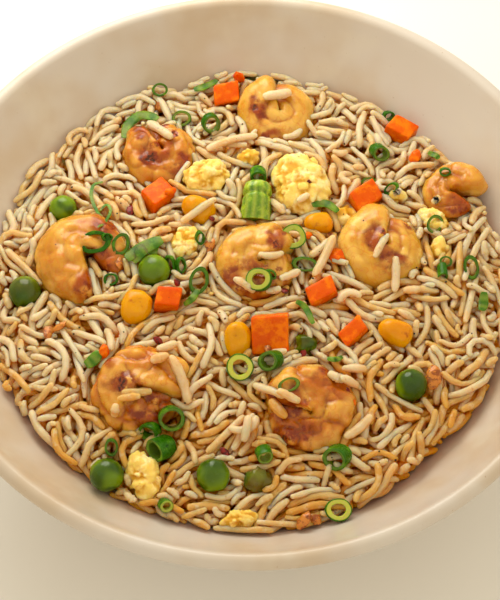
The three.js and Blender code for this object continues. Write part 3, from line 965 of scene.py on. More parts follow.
def carrot_finish():
    finish = Finish("cooked carrot flesh", tint(222, 94, 0), depth=0.8,
                    depth_colour=(1.0, 0.4, 0.0))
    finish.shader.inputs["Specular IOR Level"].default_value = 0.12
    finish.coat_with(tint(238, 130, 2), finish.blotches(3, 0.44, 0.66))
    finish.coat_with(tint(218, 84, 0), finish.blotches(2.2, 0.52, 0.7))
    return finish.skin(grain=0.6, depth=0.3, wet=0.25, dry=0.45)


CARROT_FLESH = carrot_finish()
for seed, name in enumerate(CARROTS):
    settle_topping(carrot(name, 200 + seed), name, CARROT_FLESH)
print("carrot dice:", len(CARROTS), "with", facets(toppings[-1]), "triangles each")

# %% [markdown]
# ## Sweetcorn and egg
#
# Both are recast from their solids. A kernel has a taut, glossy skin with a shallow dent in its
# crown. Scrambled egg is a torn crumb: large lumps, small lumps on them, and pits between them,
# so three sizes of bumps are added one on the other.

# %% Sweetcorn kernels
PLUMPED = 1.06  # smoothing draws the skin in a little, and this puts it back
DENT_DEPTH, DENT_FACES = 0.35, (0.2, -0.3, 1)


def kernel(name, seed):
    middle, directions, reach, triangles = recast(name, 4, 5)
    dent = -DENT_DEPTH * smooth_step(0.75, 1, directions @ unit(DENT_FACES))
    skin = 0.22 * bumps(directions, 0.9, seed) + 0.07 * bumps(directions, 0.3, seed + 5) + dent
    points = middle + directions * (reach * PLUMPED + skin)[:, None]
    cob_end = smooth_step(0.2, 0.9, bumps(directions, 1.2, seed + 2) + 0.3)
    return mesh_object(f"{name}_skin", points, faces=triangles, cob_end=cob_end)


def kernel_finish():
    finish = Finish("sweetcorn skin", tint(222, 158, 0), depth=1.4,
                    depth_colour=(1.0, 0.7, 0.03), coat=0.25)
    finish.shader.inputs["Specular IOR Level"].default_value = 0.12
    finish.coat_with(tint(224, 142, 4), finish.times(finish.stored("cob_end"), 0.7))
    finish.coat_with(tint(186, 98, 4), finish.blotches(3, 0.6, 0.76))
    return finish.skin(grain=1.0, depth=0.14, wet=0.16, dry=0.34)


SWEETCORN_SKIN = kernel_finish()
KERNELS = nodes_called("kernel_")
for seed, name in enumerate(KERNELS):
    settle_topping(kernel(name, 300 + seed), name, SWEETCORN_SKIN)
print("kernels:", KERNELS)

# %% Egg curds
LARGE_CURD = 8.0
CURD_SIZES = (3.4, 1.7)
CRUMB_SIZES = (0.8, 0.45)


def egg(name, seed):
    low, high = (np.array(corner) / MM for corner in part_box(name))
    level = 5 if max(high - low) > LARGE_CURD else 4
    middle, directions, reach, triangles = recast(name, level, 4)
    skin = directions * reach[:, None]
    curds = [np.abs(bumps(skin, size, seed + i)) for i, size in enumerate(CURD_SIZES)]
    grit = [bumps(skin, size, seed + 2 + i) for i, size in enumerate(CRUMB_SIZES)]
    folds = curds[0] + 0.6 * curds[1]
    crumbs = 0.5 * np.abs(grit[0]) + 0.25 * grit[1]
    torn = smooth_step(0.3, 0.75, bumps(skin, 2.4, seed + 4))
    radius = reach * 0.97 + 1.3 * folds + 0.55 * crumbs - 0.8 * torn - 0.3
    points = middle + directions * radius[:, None]
    # Painted shade: the pits between the lumps are stored, and the finish colours them darker.
    pits = np.clip(1.1 - 1.6 * folds - 0.8 * crumbs + 0.5 * torn, 0, 1)
    return mesh_object(f"{name}_curd", points, faces=triangles, pits=pits)


def egg_finish():
    finish = Finish("scrambled egg", tint(241, 208, 110), depth=1.6, depth_colour=(1.0, 0.8, 0.35))
    finish.coat_with(tint(250, 230, 164), finish.blotches(4, 0.46, 0.62))
    # Painted shade: darker tan in the pits between the curds.
    finish.coat_with(tint(218, 164, 40), finish.ramp(finish.stored("pits"), 0.15, 0.85))
    finish.coat_with(tint(202, 138, 36), finish.blotches(3, 0.6, 0.76))
    return finish.skin(grain=0.5, depth=0.5, wet=0.4, dry=0.65)


EGG_CURD = egg_finish()
EGGS = nodes_called("egg_")
for seed, name in enumerate(EGGS):
    settle_topping(egg(name, 400 + seed), name, EGG_CURD)
print("egg curds:", EGGS)

# %% [markdown]
# ## Scallion rings
#
# Scallion is hollow, so a cut across it is a ring, and a longer cut a tube. All rings come from
# one tree: a rounded wall swept round a circle, set on each point with its own size and turn. The
# wall is narrow on green leaf and thick on pale stalk, so it is an input. How far a point lies
# through the wall is stored, because the green is only skin deep on the thick ones.

# %% Ring tree
RING_STEPS = 28
RING_ROUNDING = 0.12  # of the wall
RING_BUMP_SIZE, RING_BUMP_HEIGHT = 4.0, 0.7
LIME_WALL, GREEN_WALL, TUBE_WALL = 0.44, 0.3, 0.26  # shares of the half width


def ring_tree():
    tree, given, result = new_tree(
        "Cut Rings", wall="number", rounding="number", unevenness="number", bump_size="number",
        material="material",
    )
    half_wall = add(tree, "ShaderNodeMath", {1: 0.5}, operation="MULTIPLY")
    middle = add(tree, "ShaderNodeMath", {0: 1.0}, operation="SUBTRACT")
    path = add(tree, "GeometryNodeCurvePrimitiveCircle", {"Resolution": RING_STEPS})
    section = add(tree, "GeometryNodeCurvePrimitiveQuadrilateral", {"Height": 1.0})
    rounded = add(tree, "GeometryNodeFilletCurve", {"Count": 2, "Limit Radius": True}, mode="POLY")
    swept = add(tree, "GeometryNodeCurveToMesh")
    position = add(tree, "GeometryNodeInputPosition")
    flat = add(tree, "ShaderNodeVectorMath", {1: (1.0, 1.0, 0.0)}, operation="MULTIPLY")
    reach = add(tree, "ShaderNodeVectorMath", operation="LENGTH")
    inside = add(tree, "ShaderNodeMath", {0: 1.0}, operation="SUBTRACT")
    through = add(tree, "ShaderNodeMath", operation="DIVIDE")
    marked = add(tree, "GeometryNodeStoreNamedAttribute", {"Name": "through"}, domain="POINT")
    placed = add(tree, "GeometryNodeInstanceOnPoints")
    turn = add(tree, "GeometryNodeInputNamedAttribute", {"Name": "turn"}, data_type="FLOAT_VECTOR")
    size = add(tree, "GeometryNodeInputNamedAttribute", {"Name": "size"}, data_type="FLOAT_VECTOR")
    turned = add(tree, "FunctionNodeEulerToRotation")
    real = add(tree, "GeometryNodeRealizeInstances")
    scale = add(tree, "ShaderNodeMath", {0: 1.0}, operation="DIVIDE")
    noise = add(tree, "ShaderNodeTexNoise", {"Detail": 1.0})
    centred = add(tree, "ShaderNodeVectorMath", {1: (0.5, 0.5, 0.5)}, operation="SUBTRACT")
    amount = add(tree, "ShaderNodeVectorMath", operation="SCALE")
    moved = add(tree, "GeometryNodeSetPosition")
    join(
        tree,
        ((given, "Wall"), (half_wall, 0)),
        ((half_wall, 0), (middle, 1)),
        ((middle, 0), (path, "Radius")),
        ((given, "Wall"), (section, "Width")),
        ((section, "Curve"), (rounded, "Curve")),
        ((given, "Rounding"), (rounded, "Radius")),
        ((path, "Curve"), (swept, "Curve")),
        ((rounded, "Curve"), (swept, "Profile Curve")),
        ((position, "Position"), (flat, 0)),
        ((flat, 0), (reach, 0)),
        ((reach, "Value"), (inside, 1)),
        ((inside, 0), (through, 0)),
        ((given, "Wall"), (through, 1)),
        ((swept, "Mesh"), (marked, "Geometry")),
        ((through, 0), (marked, "Value")),
        ((given, "Geometry"), (placed, "Points")),
        ((marked, "Geometry"), (placed, "Instance")),
        ((turn, "Attribute"), (turned, "Euler")),
        ((turned, "Rotation"), (placed, "Rotation")),
        ((size, "Attribute"), (placed, "Scale")),
        ((placed, "Instances"), (real, "Geometry")),
        ((given, "Bump Size"), (scale, 1)),
        ((scale, 0), (noise, "Scale")),
        ((noise, "Color"), (centred, 0)),
        ((centred, 0), (amount, 0)),
        ((given, "Unevenness"), (amount, "Scale")),
        ((real, "Geometry"), (moved, "Geometry")),
        ((amount, 0), (moved, "Offset")),
    )
    finish_tree(tree, (moved, "Geometry"), given, result)
    return tree


RING_TREE = ring_tree()


def rings(name, spots, wall, material):
    """spots: middle, half widths and length in millimetres, turns in degrees, and paleness."""
    middles, sizes, turns, pale = (np.array(column, float) for column in zip(*spots))
    piece = mesh_object(name, middles, size=sizes * MM, turn=np.radians(turns), pale=pale)
    run_tree(piece, RING_TREE, wall=wall, rounding=RING_ROUNDING * wall,
             unevenness=RING_BUMP_HEIGHT * MM, bump_size=RING_BUMP_SIZE * MM, material=material)
    outward_normals(piece)
    return piece


# %% Scallion finish
def scallion_finish():
    finish = Finish("scallion leaf", tint(44, 100, 4), depth=0.5,
                    depth_colour=(0.5, 1.0, 0.05), coat=0.15)
    finish.shader.inputs["Specular IOR Level"].default_value = 0.1
    finish.coat_with(tint(84, 138, 14), finish.blotches(2.5, 0.5, 0.7))
    finish.coat_with(tint(22, 68, 4), finish.blotches(1.6, 0.55, 0.72))
    through = finish.ramp(finish.stored("through"), 0.1, 0.3)
    pale = finish.stored("pale")
    finish.coat_with(tint(202, 204, 92), finish.times(through, pale))
    return finish.skin(grain=0.5, depth=0.25, wet=0.2, dry=0.4)


SCALLION_LEAF = scallion_finish()

# %% [markdown]
# ## The crimped stalk and the two tubes
#
# One long cut of pale stalk lies near the middle, pinched where the knife bent it. Its wall runs
# round the outside, over the cut edge and back down the inside, so the open end is really open.
# The two short tubes beside the front prawn come from the ring tree.

# %% Pale stalk
STALK_PLACE, STALK_TURN, STALK_LEAN = (1.8, 24.8, 1.6), -4, (20, 0)
STALK_LENGTH, STALK_RADIUS, STALK_WALL = 10.8, 3.9, 0.7
STALK_AROUND, STALK_OUTSIDE, STALK_INSIDE = 48, 40, 14
STALK_BOTTOM = -0.35  # how far in its hollow goes; the open end is at -1
STALK_RIBS, RIB_HEIGHT = 11, 0.09
STALK_NARROWING = 0.2
PINCH_AT, PINCH_SLANT, PINCH_WIDTH, PINCH_DEPTH = 0.15, 0.25, 0.13, 0.2
FLATTENED, SPREAD = 0.22, 0.1  # the open end
MERGE_WITHIN = 0.004


def stalk():
    """Lies along Y with its open end to the front."""
    outside = np.linspace(1, -1, STALK_OUTSIDE)
    inside = np.linspace(-1, STALK_BOTTOM, STALK_INSIDE)
    along = np.concatenate([[1], outside, inside, [STALK_BOTTOM]])
    hollow = np.concatenate([[0], 0 * outside, 0 * inside + 1, [1]])
    pole = np.zeros(len(along))
    pole[[0, -1]] = 1
    angle = np.arange(STALK_AROUND) * 2 * math.pi / STALK_AROUND
    along, angle = np.meshgrid(along, angle, indexing="ij")
    hollow = hollow[:, None] + 0 * angle
    radius = STALK_RADIUS * (1 - STALK_NARROWING * smooth_step(0.4, 1, along))
    radius = radius - STALK_WALL * hollow
    off_pinch = (along - PINCH_AT - PINCH_SLANT * np.sin(angle)) / PINCH_WIDTH
    radius = radius * (1 - PINCH_DEPTH * np.exp(-(off_pinch**2)))
    radius = radius * blunt_end(1 - along + 0.02, 0.35)
    ribs = RIB_HEIGHT * np.cos(angle * STALK_RIBS) * (1 - hollow)
    radius = (radius + ribs) * (1 - pole[:, None])
    open_end = smooth_step(-0.2, -1, along)
    x = radius * np.cos(angle) * (1 + SPREAD * open_end)
    z = radius * np.sin(angle) * (1 - FLATTENED * open_end)
    points = np.stack([x, along * STALK_LENGTH / 2, z], axis=-1).reshape(-1, 3)
    points += 0.12 * bumps(points, 2.0, 61)[:, None]
    rows, count = along.shape
    faces = []
    for i, j in itertools.product(range(rows - 1), range(count)):
        here, beside = i * count + j, i * count + (j + 1) % count
        faces.append((here, here + count, beside + count, beside))
    within = hollow.ravel() > 0
    pale = np.where(within, 1.0, 0.35 + 0.3 * np.cos(angle.ravel() * STALK_RIBS))
    through = np.where(within, 1.0, 0.22)
    piece = mesh_object("scallion_1_stalk", put(points, STALK_PLACE, STALK_TURN, STALK_LEAN),
                        faces=faces, pale=pale, through=through)
    merge_doubles(piece)
    outward_normals(piece)
    return piece


def merge_doubles(piece):
    form = bmesh.new()
    form.from_mesh(piece.data)
    bmesh.ops.remove_doubles(form, verts=form.verts, dist=MERGE_WITHIN * MM)
    form.to_mesh(piece.data)
    form.free()


def stalk_finish():
    finish = Finish("pale scallion stalk", tint(92, 140, 8), depth=1.2,
                    depth_colour=(0.7, 1.0, 0.1), coat=0.4)
    finish.coat_with(tint(150, 184, 30), finish.blotches(2.4, 0.46, 0.62))
    finish.coat_with(tint(56, 112, 6), finish.blotches(3.0, 0.54, 0.7))
    finish.coat_with(tint(200, 206, 84), finish.times(finish.stored("pale"), 0.75))
    return finish.skin(grain=0.6, depth=0.3, wet=0.18, dry=0.35)


settle_topping(stalk(), "scallion_1", stalk_finish())


def tube_at(node, half_widths, length, turns, pale=0.15):
    low, high = (np.array(corner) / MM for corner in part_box(node))
    return (low + high) / 2, (*half_widths, length), turns, pale


# middle from the frame; half widths, length and turns chosen for how each tube shows
for node, half_widths, length, turns in (
    ("scallion_2", (3.3, 3.0), 4.2, (38, 8, 0)),
    ("scallion_3", (3.1, 2.7), 5.0, (60, 0, -50)),
):
    spot = tube_at(node, half_widths, length, turns)
    piece = rings(f"{node}_tube", [spot], TUBE_WALL, SCALLION_LEAF)
    settle_topping(piece, node, SCALLION_LEAF)
print("toppings so far:", len(toppings))

# %% [markdown]
# ## Dropping the grains
#
# A height map of the bowl, the core and the toppings stands in for the heap while it fills. Each
# grain is a gently curved line of round beads. It is offered a few random spots, takes the lowest
# one, and comes to rest on the two highest points under it, one on each side of its middle, as a
# stick would. Then it sags a little between them, and its own top is pressed into the map for the
# next grain to land on. So no grain floats. Cooked grains are soft and sticky, so each one is let
# a little way into its neighbours, and some are laid alongside a grain that is already there. A
# physics engine would do the same far more slowly.

# %% Height map of the bowl, the core and the toppings
CELL = 0.3
HALF_MAP = 80.0
BED_SINK = 0.9  # the lowest grains lie this deep in the core
PRESSED_IN = 2  # and the others this many cells in the sides of the toppings
NO_TOPPING = -1.0
LOOK_DOWN_FROM = BOWL_HEIGHT + 10
map_axis = np.arange(-HALF_MAP, HALF_MAP + CELL, CELL)
map_x, map_y = np.meshgrid(map_axis, map_axis, indexing="ij")
map_radius = np.hypot(map_x, map_y)
rice_level = rice_height(map_x, map_y)
ground = height_inside(np.minimum(map_radius, MOUTH_RADIUS))
packed = core_top(map_x.ravel(), map_y.ravel()).reshape(ground.shape) - BED_SINK
edge_map = rice_edge(np.arctan2(map_y, map_x))
under_rice = map_radius < edge_map - CORE_INSET
ground = np.where(under_rice, np.maximum(ground, packed), ground)


def map_cell(value):
    return np.rint((np.asarray(value) + HALF_MAP) / CELL).astype(int)


def top_of(piece):
    """Highest point of a piece over each cell, found by looking straight down on it."""
    points, solid = surface(piece)
    low, high = map_cell(points.min(0)[:2]), map_cell(points.max(0)[:2])
    columns, rows = (range(first, last + 1) for first, last in zip(low, high))
    cells = np.array(list(itertools.product(columns, rows)))
    tops = np.full(len(cells), NO_TOPPING)
    for number, (i, j) in enumerate(cells):
        hit = solid.ray_cast((map_axis[i], map_axis[j], LOOK_DOWN_FROM), (0, 0, -1))[0]
        if hit:
            tops[number] = hit.z
    return cells, tops


topping_top = np.full(ground.shape, NO_TOPPING)
for piece in toppings:
    cells, tops = top_of(piece)
    spots = tuple(cells.T)
    topping_top[spots] = np.maximum(topping_top[spots], tops)


def shrunk(heights, cells):
    """Each height lowered to the least one within reach, which draws steep sides in."""
    lowest = heights.copy()
    for step in itertools.product(range(-cells, cells + 1), repeat=2):
        if math.hypot(*step) <= cells + 0.5:
            lowest = np.minimum(lowest, np.roll(heights, step, axis=(0, 1)))
    return lowest


# Grains may climb the low flanks of a topping but leave its top free.
BARE_ABOVE = 2.0
bare_top = topping_top > rice_level + BARE_ABOVE
print("share of the rice covered by toppings:", round(float(bare_top.sum() / under_rice.sum()), 3))

# %% How one grain comes to rest
BEADS = 11
GRAIN_RADII = np.arange(0.6, 1.55, 0.05)
SAG = 0.35
STEEPEST = math.tan(math.radians(44))


def dome(radius):
    """Cells under a bead, and how much its underside or top lies off its middle over each."""
    reach = int(radius / CELL)
    step_x, step_y = np.meshgrid(*[np.arange(-reach, reach + 1)] * 2, indexing="ij")
    off = np.hypot(step_x, step_y) * CELL
    inside = off < radius
    return step_x[inside], step_y[inside], np.sqrt(radius**2 - off[inside] ** 2)


DOMES = [dome(radius) for radius in GRAIN_RADII]


def grain_path(x, y, heading, length, bend, wave=0.0):
    """Bead places seen from above: an arc that turns by `bend`, with a wave laid over it."""
    share = (np.arange(BEADS - 1) + 0.5) / (BEADS - 1) - 0.5
    ways = heading + bend * share + wave * np.sin(2 * math.pi * share)
    step = length / (BEADS - 1)
    xs = np.concatenate([[0], np.cumsum(np.cos(ways))]) * step
    ys = np.concatenate([[0], np.cumsum(np.sin(ways))]) * step
    return x + xs - xs.mean(), y + ys - ys.mean()


def touching_heights(xs, ys, radius):
    """The least height of each bead at which it clears the ground."""
    step_x, step_y, rise = DOMES[int(np.abs(GRAIN_RADII - radius).argmin())]
    cells = map_cell(xs)[:, None] + step_x, map_cell(ys)[:, None] + step_y
    return (ground[cells] + rise).max(axis=1)


def rest_heights(xs, ys, radius, arch):
    """Heights of the beads at rest, and how steeply the grain lies."""
    bow = arch * np.sin(np.linspace(0, math.pi, len(xs)))
    least = touching_heights(xs, ys, radius) - bow
    middle = len(xs) // 2
    run = np.arange(len(xs)) - middle
    before, after = run[:middle], run[middle + 1:]
    low, high = least[:middle, None], least[None, middle + 1:]
    chords = (low * after - high * before[:, None]) / (after - before[:, None])
    height = max(chords.max(), least[middle])
    if height > least[middle]:
        i, j = np.unravel_index(chords.argmax(), chords.shape)
        slope = (least[middle + 1 + j] - least[i]) / (after[j] - before[i])
    else:
        steepest_up = ((least[:middle] - height) / before).min()
        least_up = ((least[middle + 1:] - height) / after).max()
        slope = min(max(0.0, least_up), steepest_up)
    line = height + slope * run
    gap = np.maximum(line - least, 0)
    gap[1:-1] = np.minimum(gap[1:-1], (gap[:-2] + gap[1:-1] + gap[2:]) / 3)
    return line - SAG * gap + bow, slope


def press(xs, ys, zs, radius):
    """Adds a laid grain to the height map, sampled twice as finely as its beads."""
    step_x, step_y, rise = DOMES[int(np.abs(GRAIN_RADII - radius).argmin())]
    fine = np.linspace(0, len(xs) - 1, 2 * len(xs) - 1)
    fine_x, fine_y, fine_z = (np.interp(fine, np.arange(len(xs)), v) for v in (xs, ys, zs))
    cells = map_cell(fine_x)[:, None] + step_x, map_cell(fine_y)[:, None] + step_y
    np.maximum.at(ground, cells, fine_z[:, None] + rise)


# %% Kinds of grain and where there is room for one
# share of the heap; length and its spread; how strongly bent (degrees); arch; tan tone
GRAIN_KINDS = {
    "long_grains": (0.52, 12.0, 2.2, 30, 0.6, 0.2),
    "sauced_grains": (0.20, 11.0, 2.2, 34, 0.6, 0.58),
    "curled_grains": (0.16, 12.0, 2.0, 100, 1.1, 0.22),
    "broken_grains": (0.12, 5.0, 1.2, 18, 0.2, 0.3),
}
GRAIN_RADIUS, RADIUS_SPREAD = 0.93, 0.09
STICKY = 0.74  # cooked grains flatten against each other, so they lie this much closer
WAVINESS = 17
SHORTEST, LONGEST = 3.4, 16
THINNEST, THICKEST = 0.78, 1.15
TONE_SPREAD = 0.14
EDGE_MARGIN, EDGE_OVERHANG = 0.5, 0.4  # room is looked for this far in, grains may end this far out
SQUARE = 8
NEARLY_FULL = 0.5
HEAPED_RELIEF = ((1.0, 8, 41), (0.8, 3.5, 42))
rng = np.random.default_rng(20)
map_spots = np.stack([map_x.ravel(), map_y.ravel(), 0 * map_x.ravel()], axis=1)
heaped = relief(map_spots, HEAPED_RELIEF).reshape(ground.shape)
within_edge = map_radius < edge_map - EDGE_MARGIN


def room_left(full, closed):
    """How far the heap still is from full, as a mean over each square of the map."""
    side = len(map_axis) // SQUARE * SQUARE
    room = np.where(within_edge & ~closed, np.maximum(full - ground, 0), 0)[:side, :side]
    return room.reshape(side // SQUARE, SQUARE, side // SQUARE, SQUARE).mean(axis=(1, 3))


def low_spots(room, count):
    """Random places, most often where the heap is lowest."""
    weight = np.maximum(room - NEARLY_FULL, 0).ravel() ** 2
    squares = rng.choice(weight.size, count, p=weight / weight.sum())
    i, j = np.unravel_index(squares, room.shape)
    corner = np.stack([i, j], axis=1) + rng.random((count, 2))
    return corner * SQUARE * CELL - HALF_MAP


# %% Filling the bowl
SPOTS, HEADINGS = 6, 9
ABOVE_FULL = 0.8
PEAK_ABOVE = 2.2
GIVE_UP_AFTER = 360
BED_DEPTHS = (4.4, 2.6, 1.2)
TUCKED_UNDER = 5  # cells
LOOK_AGAIN = 10
MATE_CHANCE = 0.25
MATE_ASIDE = 2.1  # radii
MATE_SLIDE, MATE_TURN = 2.5, 0.14
GRAINS_STAND = 0.6  # above the level of the rice
laid = {kind: [] for kind in GRAIN_KINDS}
centres = []


def beside(x, y, heading, radius):
    """A place alongside a grain that already lies there."""
    aside = rng.choice((-MATE_ASIDE, MATE_ASIDE)) * radius
    ahead = rng.normal(0, MATE_SLIDE)
    x += ahead * math.cos(heading) - aside * math.sin(heading)
    y += ahead * math.sin(heading) + aside * math.cos(heading)
    return x, y, heading + rng.normal(0, MATE_TURN)


def offer(full, closed, x, y, heading, length, radius, bend, wave, arch):
    """One resting place for a grain, or None where it would lie on a topping or outside."""
    xs, ys = grain_path(x, y, heading, length, bend, wave)
    if (np.hypot(xs, ys) > rice_edge(np.arctan2(ys, xs)) + EDGE_OVERHANG).any():
        return None
    cells = map_cell(xs), map_cell(ys)
    if closed[cells].any():
        return None
    zs, slope = rest_heights(xs, ys, STICKY * radius, arch)
    if abs(slope) > STEEPEST * length / (BEADS - 1):
        return None
    over = zs - full[cells]
    if over.max() > PEAK_ABOVE:
        return None
    return float(over.mean()), xs, ys, zs, heading


def random_grain(kinds):
    shares = np.array([GRAIN_KINDS[kind][0] for kind in kinds])
    kind = rng.choice(kinds, p=shares / shares.sum())
    _, length, spread, bend, arch, tan = GRAIN_KINDS[kind]
    length = float(np.clip(rng.normal(length, spread), SHORTEST, LONGEST))
    radius = float(np.clip(rng.normal(GRAIN_RADIUS, RADIUS_SPREAD), THINNEST, THICKEST))
    bend, wave = np.radians(rng.normal(0, (bend, WAVINESS)))
    return kind, tan, (length, radius, bend, wave, abs(rng.normal(0, arch)))


def fill(kinds, full, closed):
    """Lays grains until hardly any more will go in; none lies over the closed part."""
    misses, count = 0, 0
    while misses < GIVE_UP_AFTER:
        if count % LOOK_AGAIN == 0:
            room = room_left(full, closed)
        count += 1
        kind, tan, shape = random_grain(kinds)
        radius = shape[1]
        turns = rng.uniform(0, math.pi) + np.arange(HEADINGS) * math.pi / HEADINGS
        places = [(*spot, turn) for spot in low_spots(room, SPOTS) for turn in turns]
        if centres and rng.random() < MATE_CHANCE:
            mates = rng.integers(len(centres), size=SPOTS * HEADINGS)
            places = [beside(*centres[mate], radius) for mate in mates]
        offers = [offer(full, closed, *place, *shape) for place in places]
        best = min(filter(None, offers), key=lambda found: found[0], default=None)
        if best is None or best[0] > ABOVE_FULL:
            misses += 1
            continue
        _, xs, ys, zs, heading = best
        press(xs, ys, zs, STICKY * radius)
        centres.append((xs.mean(), ys.mean(), heading))
        tone = float(np.clip(rng.normal(tan, TONE_SPREAD), 0, 1))
        laid[kind].append((xs, ys, zs, radius, tone))
    print("grains offered:", count, " room still left:", round(float(room.mean()), 2))


# The lowest grains reach in under the rounded sides of the toppings.
for bed_depth in BED_DEPTHS:
    under_toppings = shrunk(topping_top, TUCKED_UNDER) > rice_level - bed_depth
    fill(list(GRAIN_KINDS), rice_level - bed_depth, under_toppings)
ground = np.maximum(ground, shrunk(topping_top, PRESSED_IN))
full_heap = rice_level + GRAINS_STAND + heaped
fill(list(GRAIN_KINDS), full_heap, bare_top)
fill(["broken_grains"], full_heap, bare_top)
print("grains laid:", {kind: len(grains) for kind, grains in laid.items()})

# %% [markdown]
# ## Single grains and wads on top
#
# A few grains were flicked onto the prawns and the egg, and they are what the eye goes to first.
# They are placed one by one, by the two picture points that their ends show at, and drape over
# whatever they lie on. Where they gather in a wad they are pressed into each other.

# %% Where a picture point meets the heap
LOWEST_SPOT, SIGHT_STEP = 35, 0.1


def spot_on_heap(across, down):
    """Follows a sight line down until it meets the height map."""
    line = sight_line(across, down)
    heights = np.arange(BOWL_HEIGHT, LOWEST_SPOT, -SIGHT_STEP)
    points = eye + np.outer((heights - eye[2]) / line[2], line)
    cells = np.clip(map_cell(points[:, :2]), 0, len(map_axis) - 1)
    under = ground[cells[:, 0], cells[:, 1]] >= heights
    return points[under.argmax()]


# %% Stray grains
SOFTNESS = 8
SHORTEST_STRAY = 2.4
LOOSE_LAYER = 1.8  # grains of a wad press into each other down to this height
bare_ground = ground.copy()
# picture points of the two ends, bend in degrees, radius, tan tone
STRAY_GRAINS = {
    "on the far prawn": ((263, 101), (291, 95), 8, 1.5, 0.1),
    "over the left far prawn": ((148, 129), (172, 141), 6, 1.3, 0.2),
    "below that prawn": ((206, 151), (257, 139), -25, 1.0, 0.15),
    "over the sweetcorn": ((181, 224), (216, 202), 6, 1.05, 0.3),
    "smile on the middle prawn": ((258, 262), (284, 258), 60, 1.05, 0.15),
    "left under the lime ring": ((234, 281), (255, 297), -20, 1.1, 0.25),
    "right under the lime ring": ((266, 298), (281, 291), 10, 1.1, 0.1),
    "right of the middle prawn": ((280, 282), (300, 272), 0, 1.1, 0.2),
    "beside the right prawn": ((310, 259), (333, 243), 6, 1.15, 0.25),
    "long one beside it": ((314, 279), (334, 240), 10, 1.15, 0.35),
    "upright on the right prawn": ((374, 260), (387, 243), -8, 0.95, 0.1),
    "across the right prawn": ((396, 258), (395, 294), -14, 1.1, 0.15),
    "dot on the right prawn": ((417, 240), (420, 237), 0, 1.0, 0.1),
    "end of the right prawn": ((403, 293), (420, 292), 8, 1.15, 0.35),
    "hook below the right prawn": ((335, 302), (362, 298), -130, 1.1, 0.2),
    "first on the front left prawn": ((122, 396), (152, 394), 4, 1.05, 0.45),
    "second on the front left prawn": ((118, 402), (141, 401), 4, 1.0, 0.5),
    "stub on the front left prawn": ((116, 411), (115, 418), 0, 1.2, 0.25),
    "top of the front left prawn": ((151, 364), (169, 361), 10, 1.35, 0.35),
    "beside the front left prawn": ((172, 358), (190, 405), -24, 1.25, 0.2),
    "behind the front left prawn": ((157, 352), (177, 345), 6, 1.2, 0.15),
    "wad on the front prawn 1": ((254, 396), (284, 402), -10, 1.1, 0.15),
    "wad on the front prawn 2": ((277, 400), (300, 408), 15, 1.1, 0.2),
    "wad on the front prawn 3": ((270, 408), (286, 421), 30, 1.4, 0.5),
    "right of the front prawn 1": ((328, 376), (344, 386), 30, 1.3, 0.15),
    "right of the front prawn 2": ((340, 380), (358, 388), -20, 1.2, 0.1),
    "right of the front prawn 3": ((342, 372), (366, 373), 8, 1.2, 0.15),
    "right of the front prawn 4": ((345, 441), (372, 418), 24, 1.25, 0.2),
    "curl below the front prawn": ((228, 440), (262, 424), 130, 1.2, 0.1),
    "fork below that curl": ((244, 446), (249, 420), 20, 1.2, 0.1),
    "on the egg": ((297, 205), (309, 196), 10, 0.95, 0.2),
    "in the far right": ((396, 199), (398, 194), 0, 1.0, 0.05),
    "far right dot": ((434, 205), (437, 202), 0, 1.15, 0.05),
}


def draped_heights(xs, ys, radius):
    """Heights of a soft grain that bends over whatever it lies on."""
    heights = touching_heights(xs, ys, radius)
    for _ in range(SOFTNESS):
        padded = np.pad(heights, 1, mode="edge")
        heights = (padded[:-2] + padded[1:-1] + padded[2:]) / 3
    return heights


def lay_stray(start, stop, bend, radius, tone):
    start, stop = spot_on_heap(*start), spot_on_heap(*stop)
    way = stop - start
    length = max(math.hypot(way[0], way[1]), SHORTEST_STRAY)
    x, y = (start[:2] + stop[:2]) / 2
    bend = math.radians(bend)
    xs, ys = grain_path(x, y, math.atan2(way[1], way[0]), length, bend)
    zs = draped_heights(xs, ys, radius)
    press(xs, ys, zs, radius)
    np.minimum(ground, bare_ground + LOOSE_LAYER, out=ground)
    laid["curled_grains"].append((xs, ys, zs, radius, tone))


for ends_and_shape in STRAY_GRAINS.values():
    lay_stray(*ends_and_shape)
print("stray grains:", len(STRAY_GRAINS))

# %% [markdown]
# ## From lines to grains
#
# A cooked grain is a little thicker towards one end, and its ends are blunt. Each line of beads
# becomes a curve, its stored widths become the sweep's scale, and a slightly flattened section is
# swept along it. Seven sides are enough at this size, and keep thousands of grains light.
#
# The top of a grain is the colour of cream. Its underside is painted in warm shade, and grains
# that lie deep are painted amber, partly for sauce that runs down to them and partly as painted
# shade between the grains. The tan tone and the underside shade are painted paler at the far
# side, where the light is brightest, so all three are stored.

# %% Grain tree
GRAIN_SIDES = 7
GRAIN_FLATNESS = 0.84
GRAIN_END = np.array([0.0, 0.35, 1.3])  # rings of a rounded end, in radii from its tip
GRAIN_END_WIDTHS = np.array([0.42, 0.74, 0.95])
MIDDLE_RINGS = 4
UNEVEN, TAPER, MOTTLED = 0.06, 0.2, 0.05


